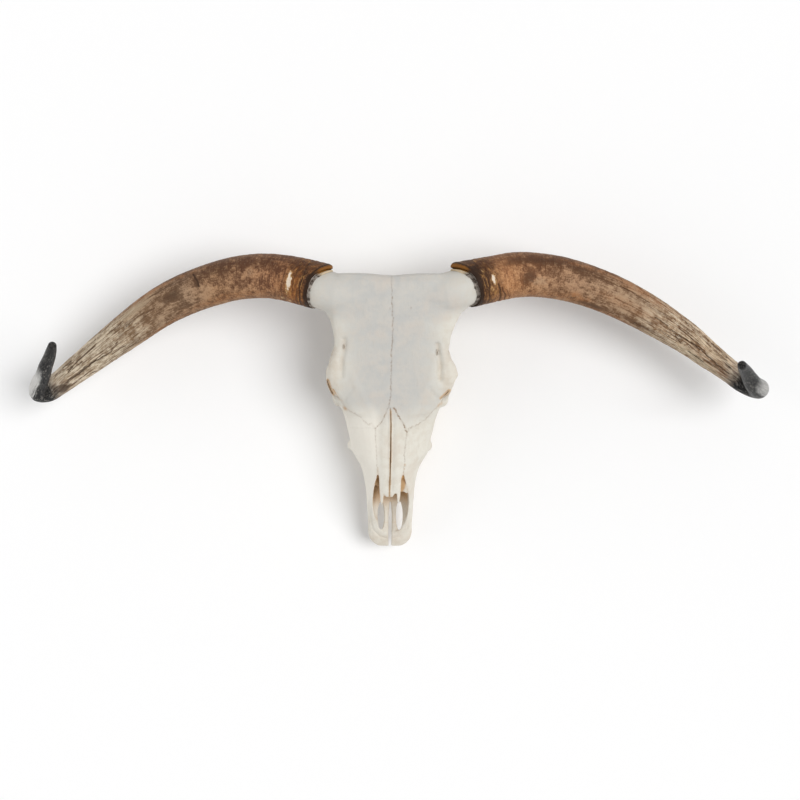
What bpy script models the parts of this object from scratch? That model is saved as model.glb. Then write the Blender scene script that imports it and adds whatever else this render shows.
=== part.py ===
"""A longhorn steer's skull with its horns, lying face up as it rests on a flat floor.

Everything is in metres in the row frame: +Z is up, +X is to the right as one looks down on the face, and +Y points
from the nose to the poll. The skull's own sizes are given in millimetres from the middle of its poll: x to the side,
s along the face towards the nose, and d down from the flat line of the forehead and nose.
"""

import math

import bmesh
import bpy
import numpy as np
from mathutils import Matrix, Vector

MM = 0.001
GAP = 0.3  # millimetres between two bones along a suture

# How the skull lies: the middle of its poll, how far its face slopes down, and how far its nose turns to the left.
POLL = Vector((-0.0166, 0.229, 0.2095))
FACE_SLOPE = math.radians(10.5)
NOSE_TURN = math.radians(0.3)

# The horns: (x, y, z) of points on the middle line and the radius there, in millimetres in the row frame.
LEFT_HORN = (
    (-147, 209, 166, 44.5), (-190, 220, 159, 43.5), (-240, 228, 152, 42), (-304, 224, 142, 41),
    (-370, 206, 132, 40), (-437, 177, 121, 38), (-504, 132, 110, 34.5), (-561, 91, 101, 29.5),
    (-610, 54, 95, 25.5), (-643, 29, 93, 22.3), (-661, 16, 97, 20.5), (-673, 14, 108, 18.8),
    (-670, 27, 128, 16.5), (-657, 45, 150, 14.3), (-648, 60, 170, 13), (-636, 77, 192, 11.3),
    (-628, 90, 210, 9.6), (-624, 97, 221, 8),
)
RIGHT_HORN = (
    (114, 210, 166, 44.5), (160, 220, 159, 43.5), (213, 230, 152, 42.5), (277, 228, 142, 41),
    (343, 213, 132, 39.5), (409, 188, 121, 38), (476, 153, 110, 35), (533, 118, 101, 30.5),
    (581, 82, 96, 26), (621, 52, 95, 22.5), (647, 32, 97, 21), (664, 23, 106, 20.5),
    (666.5, 21, 124, 19), (653, 28, 145, 16.8), (639, 40, 170, 14.2), (627, 51, 195, 12),
    (617, 58, 217, 10), (611, 62, 233, 8.4),
)
# How many rings each horn has before and in the bend of its tip, and where along the horn that bend begins.
HORN_RINGS, BEND_RINGS, BEND = 19, 17, 560.0
HORN_SIDES = 16
EVEN_AREA = math.cos(math.pi / HORN_SIDES) ** -0.5  # lets flat sides enclose as much as the circle they stand for
SHEATH_WALL = 5.0
WALL_GROWTH = 0.06  # how much thicker the sheath's wall gets for each millimetre along it
SHEATH_HOLLOW = 95.0  # how deep the horn is hollow from its mouth
MOUTH_SLANT = (0.31, 0.34)  # how far the mouth leans out towards the nose and on its upper side, for each radius
MOUTH_FADE = 110.0  # over how long a stretch of the horn that lean fades
# The bony core inside each horn: distance in from the mouth, how far it sits below the horn's middle, and its radius.
CORE = ((-75, 4, 32), (-36, 9, 38), (-16, 7, 37), (6, 4, 35), (22, 2, 33.5), (55, 1, 29.5), (72, 0, 25))

SIDES = (("left", -1), ("right", 1))
RIGHT_BROW = 8.5  # how much further out the right brow stands than the left one
BROW, BROW_REACH = 188, 22  # where along s the brow is, and how far that difference reaches
CLAY_VOXEL = 2.4  # the face width of the fused bone, in millimetres
BLOCK_VOXEL = 2.0  # the same for the teeth and for what is cut from the bone
FILL_PASSES, EVEN_PASSES = 26, 2  # how often the creases are filled, and how often the whole is evened out
BONE_TRIANGLES = 3700

# The rough forms of the bone. A station is s, half width, the depths of the top, of the widest line and of the
# bottom, and how square the section is above and below that line.
ROOF = (
    (4, 96, 9, 26, 46, 3.0, 2.4),
    (14, 106, 2, 26, 50, 3.4, 2.4),
    (40, 110, -1, 27, 52, 3.6, 2.4),
    (72, 109, 0, 26, 50, 3.6, 2.4),
    (100, 106, 1, 25, 44, 3.6, 2.4),
    (128, 103, 2, 24, 40, 3.6, 2.4),
    (150, 105, 3, 24, 40, 3.6, 2.4),
    (172, 115, 4, 24, 40, 3.4, 2.4),
    (190, 117, 4, 27, 40, 3.2, 2.4),
    (212, 112, 4, 32, 44, 3.0, 2.4),
    (232, 98, 4, 38, 50, 2.8, 2.4),
    (262, 78, 4, 44, 60, 2.6, 2.4),
)
BRAINCASE = (
    (34, 74, 22, 92, 146, 3, 3),
    (60, 63, 20, 90, 154, 3, 3),
    (90, 58, 20, 88, 150, 3, 3),
    (120, 54, 20, 84, 142, 3, 3),
    (150, 47, 20, 80, 132, 3, 3),
    (180, 40, 20, 76, 126, 3, 3),
    (210, 42, 20, 76, 126, 3, 3),
    (250, 58, 20, 76, 128, 3, 3),
)
FACE = (
    (216, 76, 6, 62, 120, 2.8, 3),
    (230, 95, 5, 62, 124, 2.6, 3),
    (246, 96, 4, 68, 130, 2.4, 3.2),
    (262, 92, 3, 74, 140, 2.2, 3.4),
    (280, 86, 2, 80, 146, 2.1, 3.6),
    (308, 80, 1, 84, 146, 2.0, 3.8),
    (326, 75, 0, 84, 143, 2.0, 3.8),
    (342, 74, 0, 84, 139, 2.0, 3.8),
    (356, 65.5, 0, 83, 134, 2.0, 3.6),
    (370, 57, 0, 82, 130, 2.0, 3.2),
    (386, 51.5, 2, 80, 122, 2.1, 3),
    (402, 48, 8, 76, 112, 2.4, 3),
    (418, 45.5, 16, 72, 102, 2.8, 3),
    (445, 43.7, 28, 70, 92, 3, 3),
    (478, 42, 46, 70, 86, 3, 3),
    (502, 41.5, 58, 71, 83, 3, 3),
    (514, 39, 62, 72, 81, 3, 3),
    (523, 32, 66, 73, 79, 3, 3),
    (529.5, 24, 69, 74, 78, 3, 3),
)
# The nasal bones, which run on over the opening of the nose.
NASALS = (
    (236, 20, 4, 16, 22, 2.2, 2.4),
    (262, 24, 2, 15, 20, 2.2, 2.4),
    (292, 28, 0, 14, 19, 2.2, 2.4),
    (330, 27, -1, 13, 18, 2.2, 2.4),
    (370, 25, -0.5, 12, 17, 2.2, 2.4),
    (405, 23, 1.5, 12, 17, 2.2, 2.4),
    (430, 20, 4, 12, 16, 2.2, 2.4),
    (446, 18, 6, 12, 15, 2.2, 2.4),
)
# The back of the skull, from the poll down: d, half width, and where it begins and ends along s.
NAPE = (
    (16, 108, 2, 56),
    (45, 102, 10, 60),
    (75, 102, 20, 66),
    (100, 104, 29, 76),
    (122, 94, 36, 86),
    (140, 66, 43, 92),
    (158, 42, 51, 96),
)
# The rim of the eye socket and the cheek arch: (x, s, d, radius).
SOCKET_RIM = (
    (111, 182, 26, 8), (110, 206, 30, 8), (104, 224, 42, 8), (98, 235, 60, 10), (100, 233, 80, 11), (106, 212, 95, 11),
    (107, 186, 98, 11), (102, 163, 90, 10), (99, 151, 66, 9), (101, 156, 42, 9), (106, 170, 29, 8),
)
CHEEK_ARCH = ((104, 178, 98, 7), (98, 148, 95, 6.5), (95, 120, 98, 7), (91, 97, 103, 8), (84, 76, 106, 10))
# The necks of bone that carry the horns. The right one is fuller.
LEFT_NECK = ((98, 108, 25, 8), (100, 90, 27, 10), (106, 68, 34, 15.5), (122, 52, 42, 20))
RIGHT_NECK = ((97, 142, 25, 10), (98, 118, 26, 12.5), (102, 93, 28, 17), (111, 66, 34, 21), (126, 54, 42, 21))
# The cheek teeth, from the back: where along s each is centred, its length and its breadth.
TEETH = ((261, 29, 23), (289, 26, 24), (315, 23, 23), (338, 20, 20), (357, 17, 18), (373, 15, 15))
ROW_START, ROW_AT, ROW_TAPER = 250, 60, 0.15  # the rows are ROW_AT from the middle at ROW_START, and draw together
ROW_TURN = 6.0
GUM_START, GUM_AT, GUM_RISE = 247, 150, 0.237  # the depth of the gum there, and how it rises towards the nose
ROOT, CROWN = 16, 19  # how far a tooth reaches above and below the gum
TOOTH_EDGE = 3.0
# The front of the palate: a slot on each side, and the gap between the two bones, as points of (x, s).
PALATE_SLOT = (18, 471, 78, 7, 31, 30)
PALATE_GAP = ((-1, 440), (1, 440), (3.2, 470), (3.2, 496), (2.4, 540), (-2.4, 540), (-3.2, 496), (-3.2, 470))


def turned_frame():
    turn = Matrix.Rotation(-NOSE_TURN, 3, "Z")
    side = turn @ Vector((1, 0, 0))
    forward = turn @ Vector((0, -math.cos(FACE_SLOPE), -math.sin(FACE_SLOPE)))
    return side, forward, side.cross(forward)


SIDE, FORWARD, DOWN = turned_frame()


def at(x, s, d):
    """A point of the skull, from millimetres across, along and down."""
    return POLL + (SIDE * x + FORWARD * s + DOWN * d) * MM


# ---------------------------------------------------------------- shapes laid into one mesh
def ring(bm, centre, across, up, rise, fall, square_up=2.0, square_down=2.0, count=32, right=1.0):
    """A closed loop of edges, with its own height and squareness above and below its widest line.

    Its right half is right times as wide as its left half.
    """
    points = []
    for i in range(count):
        turn = 2 * math.pi * i / count
        c, t = math.cos(turn), math.sin(turn)
        power = 2 / (square_up if t > 0 else square_down)
        height = rise if t > 0 else fall
        width = math.copysign(abs(c) ** power, c) * (right if c > 0 else 1)
        offset = across * width + up * math.copysign(abs(t) ** power, t) * height
        points.append(bm.verts.new(centre + offset))
    return [bm.edges.new((points[i - 1], points[i])) for i in range(count)]


def skin_over(bm, loops):
    """One closed surface through the loops, with its two ends filled."""
    for first, second in zip(loops, loops[1:]):
        bmesh.ops.bridge_loops(bm, edges=first + second)
    for end in (loops[0], loops[-1]):
        bmesh.ops.contextual_create(bm, geom=end)


def loft(bm, stations):
    """A closed skin through the stations, whose right half swells a little at the brow."""
    loops = []
    for s, half, top, side, bottom, square_up, square_down in stations:
        rise, fall = (side - top) * MM, (bottom - side) * MM
        right = 1 + RIGHT_BROW / half * math.exp(-(((s - BROW) / BROW_REACH) ** 2)) * (top < 5)
        across = SIDE * half * MM
        loops.append(ring(bm, at(0, s, side), across, -DOWN, rise, fall, square_up, square_down, right=right))
    skin_over(bm, loops)


def ball(bm, x, s, d, half_x, half_s, half_d):
    """An ellipsoid with its half sizes across, along and down."""
    size = Matrix.Diagonal((half_x * MM, half_s * MM, half_d * MM))
    place = (Matrix((SIDE, FORWARD, DOWN)).transposed() @ size).to_4x4()
    place.translation = at(x, s, d)
    bmesh.ops.create_uvsphere(bm, u_segments=24, v_segments=14, radius=1, matrix=place)


def sweep(bm, path, count=16, tall=1.0, upright=None):
    """A tapering rod through (point, radius), closed by short domes. It is tall times as deep along upright."""
    spots, sizes = [p for p, _ in path], [r for _, r in path]
    first, last = (spots[1] - spots[0]).normalized(), (spots[-1] - spots[-2]).normalized()
    domes = ((0.9, 0.4), (0.5, 0.86))
    stations = [(spots[0] - first * sizes[0] * reach, first, sizes[0] * share) for reach, share in domes]
    for i, (spot, size) in enumerate(path):
        ahead = (spots[min(i + 1, len(spots) - 1)] - spots[max(i - 1, 0)]).normalized()
        stations.append((spot, ahead, size))
    stations += [(spots[-1] + last * sizes[-1] * reach, last, sizes[-1] * share) for reach, share in reversed(domes)]
    loops = []
    wide = first.cross(upright) if upright else first.orthogonal()
    for centre, ahead, size in stations:
        wide = (wide - ahead * wide.dot(ahead)).normalized()
        loops.append(ring(bm, centre, wide * size, ahead.cross(wide), size * tall, size * tall, count=count))
    skin_over(bm, loops)


def rod(bm, points, side=1, tall=1.0, upright=None):
    """A tapering rod through points (x, s, d, radius) of the skull, on the side that side says."""
    sweep(bm, [(at(side * x, s, d), radius * MM) for x, s, d, radius in points], tall=tall, upright=upright)


def prism(bm, outline, top, bottom):
    """A block with an outline of (x, s) that runs from one depth to another."""
    face = bm.faces.new([bm.verts.new(at(x, s, top)) for x, s in outline])
    lower = bmesh.ops.extrude_face_region(bm, geom=[face])["geom"]
    drop = DOWN * (bottom - top) * MM
    bmesh.ops.translate(bm, vec=drop, verts=[v for v in lower if isinstance(v, bmesh.types.BMVert)])


def side_prism(bm, outline, start, end):
    """A block with an outline of (s, d) that runs across the skull from one x to another."""
    face = bm.faces.new([bm.verts.new(at(start, s, d)) for s, d in outline])
    other = bmesh.ops.extrude_face_region(bm, geom=[face])["geom"]
    shift = SIDE * (end - start) * MM
    bmesh.ops.translate(bm, vec=shift, verts=[v for v in other if isinstance(v, bmesh.types.BMVert)])


def made(name, collection, build, *values):
    """An object whose mesh build lays down, with its faces pointing out."""
    bm = bmesh.new()
    build(bm, *values)
    bmesh.ops.recalc_face_normals(bm, faces=bm.faces)
    mesh = bpy.data.meshes.new(name)
    bm.to_mesh(mesh)
    bm.free()
    obj = bpy.data.objects.new(name, mesh)
    collection.objects.link(obj)
    return obj


def applied(obj):
    """Gives obj the mesh that its modifiers make, and removes them."""
    graph = bpy.context.evaluated_depsgraph_get()
    mesh = bpy.data.meshes.new_from_object(obj.evaluated_get(graph))
    obj.modifiers.clear()
    obj.data = mesh
    return obj


def remeshed(obj, voxel):
    """Fuses all that overlaps in obj into one closed skin of even faces."""
    fuse = obj.modifiers.new("fuse", "REMESH")
    fuse.mode = "VOXEL"
    fuse.voxel_size = voxel * MM
    return applied(obj)


def combined(obj, other, operation, solver="MANIFOLD"):
    cut = obj.modifiers.new(operation.lower(), "BOOLEAN")
    cut.operation = operation
    cut.solver = solver
    cut.object = other
    return applied(obj)


def largest(obj):
    """Drops all but the biggest of the separate bodies in obj."""
    bm = bmesh.new()
    bm.from_mesh(obj.data)
    waiting, bodies = set(bm.verts), []
    while waiting:
        body, edge = set(), {waiting.pop()}
        while edge:
            body |= edge
            edge = {e.other_vert(v) for v in edge for e in v.link_edges} - body
        waiting -= body
        bodies.append(body)
    bodies.sort(key=len)
    bmesh.ops.delete(bm, geom=[v for body in bodies[:-1] for v in body], context="VERTS")
    bm.to_mesh(obj.data)
    bm.free()
    return obj


def relaxed(obj, passes, concave_only=False):
    """Smooths obj. With concave_only just the creases fill, as bone rounds the foot of each ridge."""
    mesh = obj.data
    count = len(mesh.vertices)
    co, normal = np.zeros(count * 3), np.zeros(count * 3)
    mesh.vertices.foreach_get("co", co)
    ends = np.zeros(len(mesh.edges) * 2, np.int32)
    mesh.edges.foreach_get("vertices", ends)
    a, b = ends.reshape(-1, 2).T
    valence = np.bincount(a, minlength=count) + np.bincount(b, minlength=count)
    for step in range(passes):
        if concave_only and step % 4 == 0:
            mesh.vertices.foreach_set("co", co)
            mesh.update()
            mesh.vertices.foreach_get("normal", normal)
        place = co.reshape(-1, 3)
        total = [np.bincount(a, place[b, k], count) + np.bincount(b, place[a, k], count) for k in range(3)]
        move = np.stack(total, 1) / valence[:, None] - place
        if concave_only:
            out = normal.reshape(-1, 3)
            move = out * np.clip((move * out).sum(1), 0, None)[:, None]
        co = (place + move * 0.6).ravel()
    mesh.vertices.foreach_set("co", co)
    mesh.update()
    return obj


# ---------------------------------------------------------------- the horns
def horn_path(points):
    """The horn's middle line and radius, evenly along a smooth curve through its points."""
    rows = np.array(points, float)
    steps = np.linalg.norm(np.diff(rows[:, :3], axis=0), axis=1)
    along = np.concatenate([[0], np.cumsum(steps)])
    slope = np.gradient(rows, along, axis=0, edge_order=1)
    path = []
    straight, bent = np.linspace(0, BEND, HORN_RINGS), np.linspace(BEND, along[-1], BEND_RINGS)
    for t in np.concatenate([straight[:-1], bent]):
        i = min(np.searchsorted(along, t, side="right") - 1, len(steps) - 1)
        span = along[i + 1] - along[i]
        u = (t - along[i]) / span
        row = (
            (2 * u**3 - 3 * u**2 + 1) * rows[i]
            + (u**3 - 2 * u**2 + u) * span * slope[i]
            + (3 * u**2 - 2 * u**3) * rows[i + 1]
            + (u**3 - u**2) * span * slope[i + 1]
        )
        path.append((Vector(row[:3]) * MM, row[3] * MM))
    return path


def lay_horn(bm, points):
    """The sheath: rings from the end of its hollow out to its mouth, and back over the outside to the tip."""
    path = horn_path(points)
    spots = [spot for spot, _ in path]
    side = math.copysign(1, spots[0].x)
    rings = []
    along = 0.0
    for i, (spot, radius) in enumerate(path):
        ahead = (spots[min(i + 1, len(path) - 1)] - spots[max(i - 1, 0)]).normalized()
        nose = (FORWARD - ahead * FORWARD.dot(ahead)).normalized()
        over = nose.cross(ahead) * side
        lean = max(0.0, 1 - along / (MOUTH_FADE * MM))
        rings.append((spot, radius, ahead, nose, over, lean, along))
        along += (spots[min(i + 1, len(path) - 1)] - spot).length

    def loop(spot, radius, ahead, nose, over, lean):
        size = radius * EVEN_AREA
        edges = ring(bm, spot, nose * size, over, size, size, count=HORN_SIDES)
        for vert in {v for e in edges for v in e.verts}:
            out = (vert.co - spot) / size
            reach = MOUTH_SLANT[0] * out.dot(nose) + MOUTH_SLANT[1] * max(0.0, out.dot(over))
            vert.co += ahead * reach * lean * radius
        return edges

    hollow = [r for r in rings if r[6] < SHEATH_HOLLOW * MM]
    loops = []
    for spot, radius, ahead, nose, over, lean, along in reversed(hollow):
        inner = radius - SHEATH_WALL * MM - along * WALL_GROWTH
        if not loops:
            loops.append(loop(spot + ahead * inner * 0.3, inner * 0.6, ahead, nose, over, lean))
        loops.append(loop(spot, inner, ahead, nose, over, lean))
    for spot, radius, ahead, nose, over, lean, along in rings:
        loops.append(loop(spot, radius, ahead, nose, over, lean))
    spot, radius, ahead, nose, over, lean, along = rings[-1]
    for reach, share in ((0.5, 0.86), (0.9, 0.4)):
        loops.append(loop(spot + ahead * radius * reach, radius * share, ahead, nose, over, 0))
    skin_over(bm, loops)


def core_path(points):
    """The bony core, laid along the horn's first straight stretch."""
    mouth, ahead = Vector(points[0][:3]), Vector(points[2][:3]) - Vector(points[0][:3])
    ahead.normalize()
    nose = (FORWARD - ahead * FORWARD.dot(ahead)).normalized()
    return [((mouth + ahead * reach + nose * low) * MM, radius * MM) for reach, low, radius in CORE]


# ---------------------------------------------------------------- the bone
def lay_clay(bm):
    loft(bm, ROOF)
    loft(bm, BRAINCASE)
    loft(bm, FACE)
    loft(bm, NASALS)
    nape = []
    for d, half, back, front in NAPE:
        reach = (front - back) / 2 * MM
        nape.append(ring(bm, at(0, (back + front) / 2, d), SIDE * half * MM, FORWARD, reach, reach, 2.6, 3.4))
    skin_over(bm, nape)
    rod(bm, ((0, 52, 154, 18), (0, 100, 150, 15), (0, 150, 140, 13), (0, 212, 128, 12)))
    rod(bm, ((0, 15, 34, 8), (0, 16, 52, 9), (0, 20, 74, 12), (0, 36, 96, 8)))
    for points in (LEFT_HORN, RIGHT_HORN):
        sweep(bm, core_path(points), 24)
    rod(bm, LEFT_NECK, -1)
    rod(bm, RIGHT_NECK)
    for side in (-1, 1):
        rod(bm, SOCKET_RIM, side)
        rod(bm, CHEEK_ARCH, side, 1.5, DOWN)
        ball(bm, side * 97, 244, 78, 12, 16, 14)
        ball(bm, side * 72, 102, 112, 30, 16, 10)
        ball(bm, side * 73, 336, 85, 8.5, 10, 9)
        # the joint knob, the jugular process, the ear bone, the ear tube and the wing beside the throat
        ball(bm, side * 31, 44, 148, 19, 25, 24)
        rod(bm, ((72, 58, 112, 12), (69, 62, 140, 9), (65, 68, 168, 7), (60, 74, 200, 5.5)), side, 2.0, FORWARD)
        ball(bm, side * 43, 92, 150, 12, 18, 18)
        rod(bm, ((60, 84, 122, 11), (90, 70, 116, 10)), side)
        rod(bm, ((24, 160, 134, 6), (25, 200, 140, 6), (28, 244, 140, 7)), side, 2.2, DOWN)
        rod(bm, ((25, 186, 148, 4.5), (27, 181, 172, 3.5)), side)
        rod(bm, ((30, 236, 140, 7), (50, 262, 140, 8)), side, 1.6, DOWN)


def lay_teeth(bm):
    """The cheek teeth: square blocks in two rows that come together towards the nose."""
    for side in (-1, 1):
        for s, length, breadth in TEETH:
            middle = ROW_AT - (s - ROW_START) * ROW_TAPER
            gum = GUM_AT - (s - GUM_START) * GUM_RISE
            root, tip = gum - ROOT, gum + CROWN
            turn = Matrix.Rotation(math.radians(side * ROW_TURN), 3, "Z")
            place = Matrix((SIDE, FORWARD, DOWN)).transposed() @ turn
            place = (place @ Matrix.Diagonal((breadth * MM, (length - 1) * MM, (tip - root) * MM))).to_4x4()
            place.translation = at(side * middle, s, (root + tip) / 2)
            cube = bmesh.ops.create_cube(bm, size=1, matrix=place)["verts"]
            edges = list({e for v in cube for e in v.link_edges})
            offset = TOOTH_EDGE * MM
            bmesh.ops.bevel(bm, geom=edges, offset=offset, segments=2, profile=0.5, affect="EDGES", material=-1)


def lay_hollows(bm):
    """All that is open in the bone: eye sockets, nose, mouth roof, throat and the way in for the spinal cord."""
    for side in (-1, 1):
        ball(bm, side * 96, 194, 62, 48, 31, 27)
        ball(bm, side * 70, 150, 64, 24, 50, 26)
        ball(bm, side * 62, 128, 60, 9, 30, 22)
    # the nose, behind and under the nasal bones
    stations = (
        (292, 14, 14, 60, 96, 2.4, 2.4),
        (320, 22, 8, 60, 108, 2.6, 2.6),
        (352, 27, 6.5, 62, 108, 3, 3),
        (380, 29, 8, 58, 100, 3.2, 2.6),
        (405, 31, 12, 44, 88, 3.4, 2.2),
        (425, 32, 18, 36, 78, 3.4, 2.0),
        (446, 32, 10, 34, 71, 3.6, 2.0),
    )
    loft(bm, stations)
    ball(bm, 1.5, 442, 38, 33, 74, 35)


def lay_nose_window(bm):
    """The opening in front of the nasal bones, with a slot running back on each side of them."""
    left = ((-22.6, 366), (-26, 388), (-30, 406), (-32, 437), (-30, 453), (-27, 467), (-20, 477), (-8, 482))
    right = ((8, 482), (21, 477), (30, 467), (33, 452), (35, 435), (33.5, 412), (28.5, 390), (24.6, 371))
    tips = ((20.2, 403), (18.8, 421), (16, 436), (13, 421), (12, 410), (6, 415), (0, 418))
    outline = left + right + tips + tuple((-x, s) for x, s in reversed(tips[:-1]))
    prism(bm, outline, -20, 44)


def lay_palate_slots(bm):
    x, s, d, half_x, half_s, half_d = PALATE_SLOT
    for side in (-1, 1):
        ball(bm, side * x, s, d, half_x, half_s, half_d)
    prism(bm, PALATE_GAP, 40, 100)


def lay_mouth_roof(bm):
    stations = (
        (222, 30, 128, 158, 190, 2.4, 2),
        (250, 38, 122, 158, 190, 2.6, 2),
        (300, 37, 120, 154, 190, 2.6, 2),
        (350, 31, 114, 150, 190, 2.6, 2),
        (392, 27, 108, 140, 190, 2.4, 2),
        (420, 24, 100, 130, 190, 2.4, 2),
    )
    loft(bm, stations)
    ball(bm, 0, 238, 122, 17, 34, 14)
    ball(bm, 0, 70, 132, 20, 50, 20)


def lay_floor(bm):
    place = Matrix.Translation((0, 0, -0.1))
    bmesh.ops.create_cube(bm, size=0.2, matrix=place @ Matrix.Diagonal((4, 4, 1, 1)))


# ---------------------------------------------------------------- how the bones part
def mirrored(edge):
    """An outline across both sides from the points of its right half."""
    return [(-x, s) for x, s in reversed(edge) if x > 0] + list(edge)


def lay_frontals(bm, grow):
    """The forehead back to the poll, with its front edge along the sutures of the nose and the tear bones."""
    edge = ((0, 249), (27, 287), (38, 281), (54, 277), (74, 262), (97, 232), (128, 222), (200, 222))
    outline = mirrored([(x, s + grow * 1.3) for x, s in edge])
    prism(bm, outline + [(200, -60), (-200, -60)], -40, 120)


def lay_below_frontals(bm, grow):
    """All that lies under the frontal bones: the block dips at each side to pass below the core of the horn."""
    edge = mirrored(((0, 44), (60, 50), (88, 74), (130, 86), (210, 98)))
    corners = [bm.verts.new(at(x, -80, d + grow)) for x, d in edge]
    corners += [bm.verts.new(at(210, -80, 220)), bm.verts.new(at(-210, -80, 220))]
    far = bmesh.ops.extrude_face_region(bm, geom=[bm.faces.new(corners)])["geom"]
    bmesh.ops.translate(bm, vec=FORWARD * 420 * MM, verts=[v for v in far if isinstance(v, bmesh.types.BMVert)])


def lay_nasals(bm, grow):
    edge = ((0, 249), (27, 287), (27, 330), (25.5, 369), (25.5, 460))
    outline = mirrored([(x + grow if x else 0, s - grow * 1.6 if s < 290 else s) for x, s in edge])
    prism(bm, outline, -30, 15 + grow)


def lay_premaxillae(bm, grow):
    edge = ((428, -20), (430, 62), (408, 68), (408, 140))
    side_prism(bm, [(s - grow, d) for s, d in edge] + [(560, 140), (560, -20)], -80, 80)


def lay_maxillae(bm, grow):
    edge = ((284, -20), (292, 40), (302, 72), (262, 104), (240, 122), (240, 200))
    side_prism(bm, [(s - grow, d) for s, d in edge] + [(500, 200), (500, -20)], -110, 110)


def lay_cheek(bm, side, grow):
    edge = ((38, 236), (38, 320), (140, 320), (140, 122), (99, 122), (90, 140), (90, 214), (62, 214))
    edge = [(x - grow if x < 100 else x, s - grow if s < 130 else s) for x, s in edge]
    prism(bm, [(side * x, s) for x, s in edge], -20, 112 + grow)


def lay_occiput(bm, grow):
    edge = ((-90, -60), (60, -60), (64, 76), (82, 116), (90, 150), (94, 240), (-90, 240))
    side_prism(bm, [(s + grow if s > 0 else s, d) for s, d in edge], -160, 160)


def lay_temporal(bm, side, grow):
    """The side wall of the braincase, with the root of the cheek arch and the socket of the jaw."""
    edge = ((50, 20), (50, 128), (62, 142), (140, 142), (140, 20))
    edge = [(x - grow if x == 50 else x, s + grow if s > 130 else s) for x, s in edge]
    prism(bm, [(side * x, s) for x, s in edge], 78 - grow, 150)


def lay_half(bm, side):
    edge = ((GAP / 2, -100), (GAP / 2, 600), (400, 600), (400, -100))
    prism(bm, [(side * x, s) for x, s in edge], -100, 260)


MATERIALS = {
    "bone": ((0.78, 0.74, 0.66, 1), 0.6),
    "cream_bone": ((0.83, 0.79, 0.70, 1), 0.55),
    "horn": ((0.30, 0.19, 0.11, 1), 0.45),
}


def main():
    for obj in list(bpy.data.objects):
        bpy.data.objects.remove(obj, do_unlink=True)
    scene = bpy.context.scene
    parts = bpy.data.collections.new("longhorn_skull")
    cutters = bpy.data.collections.new("cutters")
    scene.collection.children.link(parts)
    scene.collection.children.link(cutters)
    materials = {}
    for name, (colour, roughness) in MATERIALS.items():
        material = bpy.data.materials.new(name)
        material.use_nodes = True
        shader = material.node_tree.nodes["Principled BSDF"]
        shader.inputs["Base Color"].default_value = colour
        shader.inputs["Roughness"].default_value = roughness
        shader.inputs["Metallic"].default_value = 0
        materials[name] = material

    skull = relaxed(remeshed(made("skull", cutters, lay_clay), CLAY_VOXEL), FILL_PASSES, True)
    for build in (lay_hollows, lay_nose_window, lay_palate_slots, lay_mouth_roof):
        cutter = made("cutter", cutters, build)
        cutter = remeshed(cutter, BLOCK_VOXEL) if build in (lay_hollows, lay_mouth_roof) else cutter
        combined(skull, cutter, "DIFFERENCE")
        bpy.data.objects.remove(cutter)
    teeth = remeshed(made("teeth", cutters, lay_teeth), BLOCK_VOXEL)
    combined(skull, teeth, "UNION")
    relaxed(remeshed(skull, CLAY_VOXEL), EVEN_PASSES)
    lighter = skull.modifiers.new("lighter", "DECIMATE")
    lighter.ratio = BONE_TRIANGLES / sum(len(p.vertices) - 2 for p in skull.data.polygons)
    applied(skull)
    floor = made("floor", cutters, lay_floor)
    combined(skull, floor, "DIFFERENCE")

    def cutter_of(build, *values):
        return made("cutter_" + build.__name__[4:], cutters, build, *values)

    def taken(source, cutter, operation):
        """The largest piece of source that is left by a cut."""
        obj = bpy.data.objects.new("piece", source.data.copy())
        parts.objects.link(obj)
        combined(obj, cutter, operation)
        return largest(obj)

    def peeled(source, block):
        """The bone of source inside a block that is made by block(grow), which leaves source with a gap there."""
        bone = taken(source, block(0), "INTERSECT")
        combined(source, block(GAP), "DIFFERENCE")
        return bone

    def frontal_block(grow):
        return combined(cutter_of(lay_frontals, grow), cutter_of(lay_below_frontals, grow), "DIFFERENCE")

    def finished(bone, name, material):
        bone.name = name
        bone.data.name = name
        bone.data.materials.clear()
        bone.data.materials.append(materials[material])
        bone.data.shade_smooth()

    halves = (
        (frontal_block, "frontal", "bone"),
        (lambda grow: cutter_of(lay_nasals, grow), "nasal", "cream_bone"),
        (lambda grow: cutter_of(lay_premaxillae, grow), "premaxilla", "cream_bone"),
        (lambda grow: cutter_of(lay_maxillae, grow), "maxilla", "cream_bone"),
    )
    for block, name, material in halves:
        bone = peeled(skull, block)
        for label, side in SIDES:
            finished(taken(bone, cutter_of(lay_half, side), "INTERSECT"), name + "_" + label, material)
        bpy.data.objects.remove(bone)
    for label, side in SIDES:
        cheek = peeled(skull, lambda grow: cutter_of(lay_cheek, side, grow))
        finished(cheek, "cheekbone_" + label, "cream_bone")
    finished(peeled(skull, lambda grow: cutter_of(lay_occiput, grow)), "occiput", "bone")
    for label, side in SIDES:
        temporal = peeled(skull, lambda grow: cutter_of(lay_temporal, side, grow))
        finished(temporal, "temporal_" + label, "bone")
    parts.objects.link(skull)
    cutters.objects.unlink(skull)
    finished(largest(skull), "braincase", "bone")

    for label, points in (("left", LEFT_HORN), ("right", RIGHT_HORN)):
        finished(made("horn", parts, lay_horn, points), "horn_" + label, "horn")
    for obj in cutters.objects:
        obj.hide_render = True
        obj.display_type = "WIRE"


main()
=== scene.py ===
"""The looks of a longhorn steer's skull that lies face up, with its long horns spread to both sides."""

import math

import bmesh
import bpy
import numpy as np
from mathutils import Matrix, Vector, noise


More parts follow.
